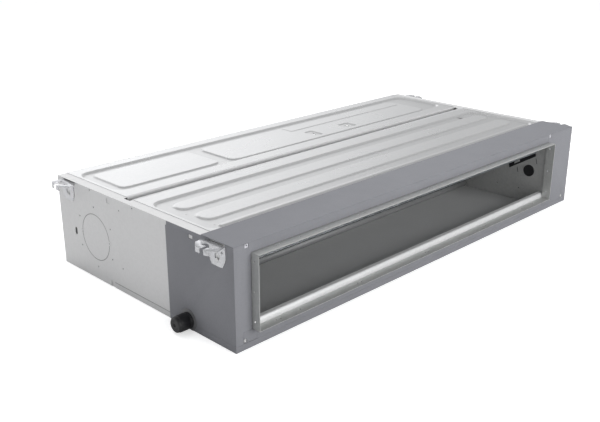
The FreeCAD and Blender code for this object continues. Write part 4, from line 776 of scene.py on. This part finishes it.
# %% Backdrop and lamps
world = bpy.data.worlds.new("studio")
bpy.context.scene.world = world
world.use_nodes = True
tree = world.node_tree
tree.nodes.clear()
seen = tree.nodes.new("ShaderNodeBackground")
seen.inputs["Color"].default_value = (1, 1, 1, 1)
seen.inputs["Strength"].default_value = 1.0
direction = tree.nodes.new("ShaderNodeTexCoord").outputs["Generated"]
heading = tree.nodes.new("ShaderNodeVectorMath")
heading.operation = "DOT_PRODUCT"
heading.inputs[1].default_value = (0.0, 1.0, 0.0)
tree.links.new(direction, heading.inputs[0])
parts = tree.nodes.new("ShaderNodeSeparateXYZ")
tree.links.new(direction, parts.inputs["Vector"])
behind = spread(tree, heading.outputs["Value"], 0.1, 1.0, 0.55, 0.82)
low_down = spread(tree, parts.outputs["Z"], 1.0, 0.0, 0.36, 0.62)
glow = tree.nodes.new("ShaderNodeMath")
glow.operation = "MULTIPLY"
tree.links.new(behind, glow.inputs[0])
tree.links.new(low_down, glow.inputs[1])
felt = tree.nodes.new("ShaderNodeBackground")
felt.inputs["Color"].default_value = (0.98, 0.985, 1.0, 1)
tree.links.new(spread(tree, glow.outputs["Value"], 0.4, 1.65, 0.0, 1.0), felt.inputs["Strength"])
path = tree.nodes.new("ShaderNodeLightPath")
pick = tree.nodes.new("ShaderNodeMixShader")
output = tree.nodes.new("ShaderNodeOutputWorld")
tree.links.new(path.outputs["Is Camera Ray"], pick.inputs["Fac"])
tree.links.new(felt.outputs["Background"], pick.inputs[1])
tree.links.new(seen.outputs["Background"], pick.inputs[2])
tree.links.new(pick.outputs["Shader"], output.inputs["Surface"])


def lamp(name, place, target, width, height, watts):
    """A rectangular softbox at a place, turned to a target."""
    data = bpy.data.lights.new(name, "AREA")
    data.shape = "RECTANGLE"
    data.size, data.size_y = width, height
    data.energy = watts
    light = bpy.data.objects.new(name, data)
    light.location = place
    light.rotation_euler = (Vector(target) - Vector(place)).to_track_quat("-Z", "Y").to_euler()
    bpy.context.scene.collection.objects.link(light)
    return light


top_lamp = lamp("top_softbox", (0.2, 1.3, 2.9), (0.0, 0.0, 0.2), 2.4, 2.4, 66.0)
top_lamp.visible_glossy = False
lamp("front_softbox", (0.4, -3.4, 1.3), (0.0, -0.2, 0.1), 2.6, 1.6, 72.0)

# %% [markdown]
# ## The camera
# Its place was worked out from seven corners of the casing: a camera that puts all seven where the
# picture has them is the right one. The lens follows from the focal length in pixels.

# %% Camera from the solved corners
image_width = 600
focal_pixels = 835.321
azimuth, elevation = math.radians(-44.941), math.radians(20.142)
flat = math.cos(elevation)
back = Vector((math.sin(azimuth) * flat, -math.cos(azimuth) * flat, math.sin(elevation)))
camera_data = bpy.data.cameras.new("camera")
camera_data.sensor_width = 36.0
camera_data.lens = focal_pixels * camera_data.sensor_width / image_width
camera = bpy.data.objects.new("camera", camera_data)
camera.location = (-1.70995, -1.55359, 0.89900)
camera.rotation_euler = back.to_track_quat("Z", "Y").to_euler()
bpy.context.scene.collection.objects.link(camera)
bpy.context.scene.camera = camera
bpy.context.scene.view_settings.view_transform = "Standard"
print("lens:", round(camera_data.lens, 2), "mm")
